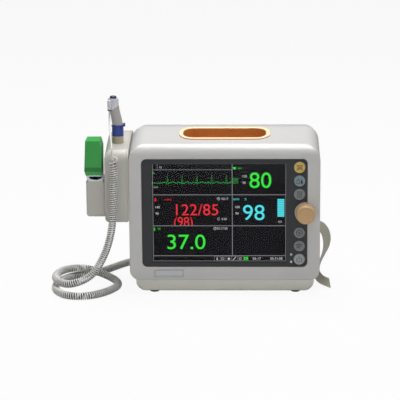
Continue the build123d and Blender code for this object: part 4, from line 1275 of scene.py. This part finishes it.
# ------------------------------------------------------------------ recorder paper
@dataclass
class PaperStrip:
    """The recorder's strip: over the platen, out of the slot and down to the table."""

    width_mm: float = 50.0
    middle_y_mm: float = 55.0
    thick_mm: float = 0.16
    # side view in millimetres: x to the right of the casing's centre, z above the table
    profile: tuple[Flat, ...] = (
        (107.8, 79.5), (114.0, 79.5), (122.0, 79.4), (129.0, 76.6), (134.6, 70.6), (138.0, 62.5), (138.9, 54.0),
        (136.8, 44.0), (131.4, 33.0), (126.8, 23.5), (124.6, 15.5), (125.3, 9.6), (128.3, 5.6), (132.6, 2.6),
        (137.2, 1.0),
    )
    across: int = 10
    twist_mm: float = 12.5
    # the twist fades out at both ends: where it starts and its run, as shares of the length
    twist_start: float = 0.06
    twist_run: float = 0.84

    def smooth_profile(self, per_span: int = 6) -> list[Flat]:
        """A smooth line through the profile's points.

        Args:
            per_span: How many pieces each span is cut into.

        Returns:
            The line's points.
        """
        line: list[Flat] = []
        points = list(self.profile)
        for index in range(len(points) - 1):
            before = points[max(index - 1, 0)]
            here, after = points[index], points[index + 1]
            beyond = points[min(index + 2, len(points) - 1)]
            for step in range(per_span):
                t = step / per_span
                line.append(
                    tuple(
                        0.5
                        * (
                            2 * h
                            + (a - b) * t
                            + (2 * b - 5 * h + 4 * a - y) * t * t
                            + (3 * h - b - 3 * a + y) * t**3
                        )
                        for b, h, a, y in zip(before, here, after, beyond)
                    )
                )
        line.append(points[-1])
        return line

    def build(self) -> None:
        """Make the strip, bent in one direction and slightly twisted."""
        line = self.smooth_profile()
        rows, columns = len(line), self.across + 1
        top: list[Vector] = []
        for index, (x, z) in enumerate(line):
            bulge = sin(pi * min(max((index / rows - self.twist_start) / self.twist_run, 0.0), 1.0))
            for column in range(columns):
                y = self.middle_y_mm + self.width_mm * (column / self.across - 0.5)
                lean = (1 - column / self.across) * self.twist_mm * bulge
                top.append(at(x - lean, y, z))
        faces = []
        for row in range(rows - 1):
            for column in range(self.across):
                a = row * columns + column
                faces.append((a, a + 1, a + 1 + columns, a + columns))
        strip = new_mesh("recorder_strip", top, faces)
        solid = strip.modifiers.new("thickness", "SOLIDIFY")
        solid.thickness = self.thick_mm * MM
        solid.offset = 0.0
        bpy.context.view_layer.update()
        mesh = bpy.data.meshes.new_from_object(strip.evaluated_get(bpy.context.evaluated_depsgraph_get()))
        strip.modifiers.clear()
        strip.data = mesh
        shade_smooth(strip)
        dress(strip, ThermalPaper().build())
        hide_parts("paper_strip")
        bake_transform(strip)
        LOG.info("paper strip made")


# ------------------------------------------------------------------ the rest of the object
def dress_all(table: Iterable[tuple[Any, Sequence[str]]]) -> None:
    """Make finishes and put them on CAD nodes.

    Args:
        table: Each finish with the nodes that wear it.
    """
    for finish, nodes in table:
        material = finish.build()
        for node in nodes:
            dress(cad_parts[node], material)


@dataclass
class Casing:
    """Materials of the casing, the front panel and what lies inside."""

    def moulded(self) -> None:
        """Dress the casing, the module and the front panel."""
        spark = Scale.SPARK_TEXTURE
        dress_all((
            # ABS-PC from an eroded mould: warm light grey, matt, with a faint glow along its edges
            (
                Moulding("abs_casing_light_grey", "cccbca", "c8c7c6", 0.3, spark, edge_mm=2.2),
                ("front_shell", "rear_shell", "battery_door", "recorder_door"),
            ),
            (
                Moulding("abs_module_warm_grey", "c4c1ba", "c0bdb6", 0.38, spark, edge_mm=1.5),
                ("module_shell", "module_cover", "cover_holder"),
            ),
            (Moulding("abs_base_light_grey", "efeee5", "ebeae1", 0.4, spark, edge_mm=1.5), ("base_plinth",)),
            # charcoal ABS with a finer texture than the casing's, so that it stays even and dark
            (Moulding("abs_bezel_charcoal", "282b2f", "25282c", 0.5), ("screen_bezel",)),
            # solid-coloured ABS polished a little by fingers: a soft highlight on the rounded rim
            (Moulding("abs_amber", "cba678", "c6a173", 0.42, grain_depth_mm=0.012), ("knob",)),
            (TrayPlastic(), ("handle_liner",)),
            (FloatGlass(), ("screen_window",)),
            (DisplayFace(), ("lcd_panel",)),
            # clear acrylic: glossy and nearly colourless while its lamp is off
            (
                Moulding("acrylic_light_pipe", "d8dce0", "c8ccd0", 0.12, grain_depth_mm=0.004, ior=1.49),
                ("indicator_lights",),
            ),
            # soft rubber: dull and nearly black
            (Moulding("moulded_foot_rubber", "2a2a2a", "242424", 0.75, spark, 0.04), ("rubber_feet",)),
        ))

    def keys(self) -> None:
        """Dress the keys: silky moulded caps, yellow, blue-grey and two greys."""
        plain = ("83868a", "7d8084")
        colours = {
            "key_alarm_pause": ("d8b864", "d0b05e"),
            "key_cuff_start": ("7f979d", "798f95"),
            "key_menu": plain,
            "key_print": plain,
            "key_standby": plain,
            "key_power": ("a4a7aa", "9ea1a4"),
        }
        dress_all(
            (Moulding(f"abs_{key}", *pair, 0.4, grain_depth_mm=0.01), (key,)) for key, pair in colours.items()
        )

    def works(self) -> None:
        """Dress the metal parts and what lies inside."""
        spark = Scale.SPARK_TEXTURE
        dress_all((
            # anodising leaves a satin metal with fine lines across it
            (Metal("satin_anodised_plate", "c3c5c9", 0.45), ("label_plate",)),
            # zinc plate: pale, slightly blue, with a blurred reflection
            (
                Metal("zinc_plated_steel", "b9bcc0", 0.32),
                (
                    "lcd_frame", "encoder_body", "encoder_plunger", "encoder_shaft", "chassis_plate",
                    "data_sockets", "shell_screws", "recorder_motor", "motor_pinion", "platen_axle",
                    "probe_shaft",
                ),
            ),
            (Metal("knurled_brass", "c8a468", 0.3), ("mount_inserts",)),
            (Metal("extruded_aluminium", "c4c6c8", 0.35), ("print_head",)),
            (SolderMask(), ("key_board", "main_board", "power_supply", "module_board")),
            # glass fibres leave nylon dull and slightly uneven
            (
                Moulding("glass_filled_nylon_black", "26272a", "202124", 0.55, spark),
                ("battery_pack", "cuff_pump", "speaker", "power_inlet"),
            ),
            (
                Moulding("nylon_socket_grey", "858a8e", "7d8286", 0.45),
                ("patient_ports", "recorder_housing", "recorder_latch"),
            ),
            (Moulding("silicone_key_mat", "b0b0ac", "a6a6a2", 0.65, spark), ("key_mat",)),
            (Moulding("ground_roller_rubber", "1f1f20", "1a1a1b", 0.7, spark), ("platen_roller",)),
            # the roll wears the strip's paper, with the same painted shade
            (ThermalPaper("thermal_paper_roll"), ("paper_roll",)),
        ))

    def build(self) -> None:
        """Dress every CAD node of the casing."""
        self.moulded()
        self.keys()
        self.works()
        LOG.info("casing dressed")


# How many straight steps make the round washer.
BAND_STEPS = 32


def ring_band(name: str, middle: Vector, inner: float, outer: float, height: float) -> bpy.types.Object:
    """A flat round washer with softened rims, whose axis is upright.

    Args:
        name: Name of the piece.
        middle: Its centre.
        inner: Radius of the hole, in metres.
        outer: Outer radius, in metres.
        height: Full height, in metres.

    Returns:
        The piece.
    """
    bevel = min(height, outer - inner) * 0.25
    half = height / 2
    section = [
        (inner, -half), (outer - bevel, -half), (outer, -half + bevel), (outer, half - bevel),
        (outer - bevel, half), (inner, half),
    ]
    steps = BAND_STEPS
    points, faces = [], []
    for step in range(steps):
        angle = 2 * pi * step / steps
        points += [middle + Vector((r * cos(angle), r * sin(angle), h)) for r, h in section]
        for corner in range(len(section)):
            after = (corner + 1) % len(section)
            here, ahead = step * len(section), (step + 1) % steps * len(section)
            faces.append((here + corner, here + after, ahead + after, ahead + corner))
    return new_mesh(name, points, faces)


@dataclass
class Thermometer:
    """Materials of the clip-on thermometer module and its probe."""

    exit_mm: Flat = (-146.7, 31.0)
    ring_mm: Flat = (1.25, 2.5)
    ring_height_mm: float = 1.5
    flap_inset_mm: float = 2.7
    flap_front_mm: float = 2.06
    flap_thick_mm: float = 0.28
    flap_foot_mm: float = 2.0
    flap_rise_mm: float = 2.2
    flap_ends_mm: float = 3.4
    flap_steps: int = 44
    tear_mm: float = 0.25
    tear_seed: int = 7

    def exit_ring(self) -> None:
        """The dark grommet where the cord leaves the probe's head."""
        inner, outer = self.ring_mm
        middle = at(*self.exit_mm, 0.0)
        middle.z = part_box("probe_head")[0].z
        ring = ring_band("cord_grommet", middle, inner * MM, outer * MM, self.ring_height_mm * MM)
        dress(ring, Moulding("grommet_rubber_dark", "34373d", "2e3136", 0.6).build())
        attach(ring, "probe")

    def torn_flap(self) -> None:
        """The strip of bare board left below the carton's torn mouth, just inside the holder's lip."""
        low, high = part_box("cover_holder")
        left, right = low.x + self.flap_inset_mm * MM, high.x - self.flap_inset_mm * MM
        front = low.y + self.flap_front_mm * MM
        foot = high.z - self.flap_foot_mm * MM
        steps = self.flap_steps
        tear = random.Random(self.tear_seed)
        points, faces = [], []
        for step in range(steps + 1):
            share = 2 * step / steps - 1
            rough = tear.uniform(-self.tear_mm, self.tear_mm)
            rise = self.flap_rise_mm + self.flap_ends_mm * share * share + rough
            x = left + (right - left) * step / steps
            top = high.z + rise * MM
            back = front + self.flap_thick_mm * MM
            points += [(x, front, foot), (x, front, top), (x, back, top), (x, back, foot)]
            if step:
                a = 4 * (step - 1)
                faces += [(a + k, a + (k + 1) % 4, a + 4 + (k + 1) % 4, a + 4 + k) for k in range(4)]
        faces += [(3, 2, 1, 0), (4 * steps, 4 * steps + 1, 4 * steps + 2, 4 * steps + 3)]
        flap = new_mesh("torn_flap", points, faces)
        dress(flap, Moulding("bare_box_board", "eef0f3", "e2e4e8", 0.7, Scale.CARD_FIBRE, 0.03).build())
        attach(flap, "carton")

    def build(self) -> None:
        """Dress the CAD nodes of the thermometer."""
        dress_all((
            # satin ABS, each part moulded in its own colour
            (Moulding("abs_well_beige", "b9b098", "b2a991", 0.45), ("well_tube",)),
            (Moulding("abs_collar_blue", "2f45a0", "293d92", 0.35), ("well_collar",)),
            # PBT that stands up to wiping: smoother than the casing, with a soft streak of light
            (Moulding("pbt_grip_grey", "b4b2b0", "aeacaa", 0.42), ("probe_handle",)),
            (Moulding("pvc_plug_grey", "b2b3b5", "acadaf", 0.5), ("probe_plug",)),
            (Moulding("pbt_head_white", "dcdce6", "d6d6e0", 0.38), ("probe_head",)),
            (Moulding("abs_button_navy", "27325c", "222c54", 0.35), ("probe_button",)),
            (CartonBoard(), ("cover_carton",)),
            # thin polyethylene: dark and waxy from its open end
            (Moulding("thin_polyethylene", "39466f", "333f66", 0.3), ("probe_covers",)),
        ))
        self.exit_ring()
        self.torn_flap()
        LOG.info("thermometer dressed")


def main() -> None:
    """Build the scene in order."""
    studio = Studio()
    studio.camera()
    CurlyCord().build()
    studio.room()
    studio.lights()
    Casing().build()
    Thermometer().build()
    ScreenPicture().build()
    KeySigns().build()
    PaperStrip().build()


if __name__ == "__main__":
    main()
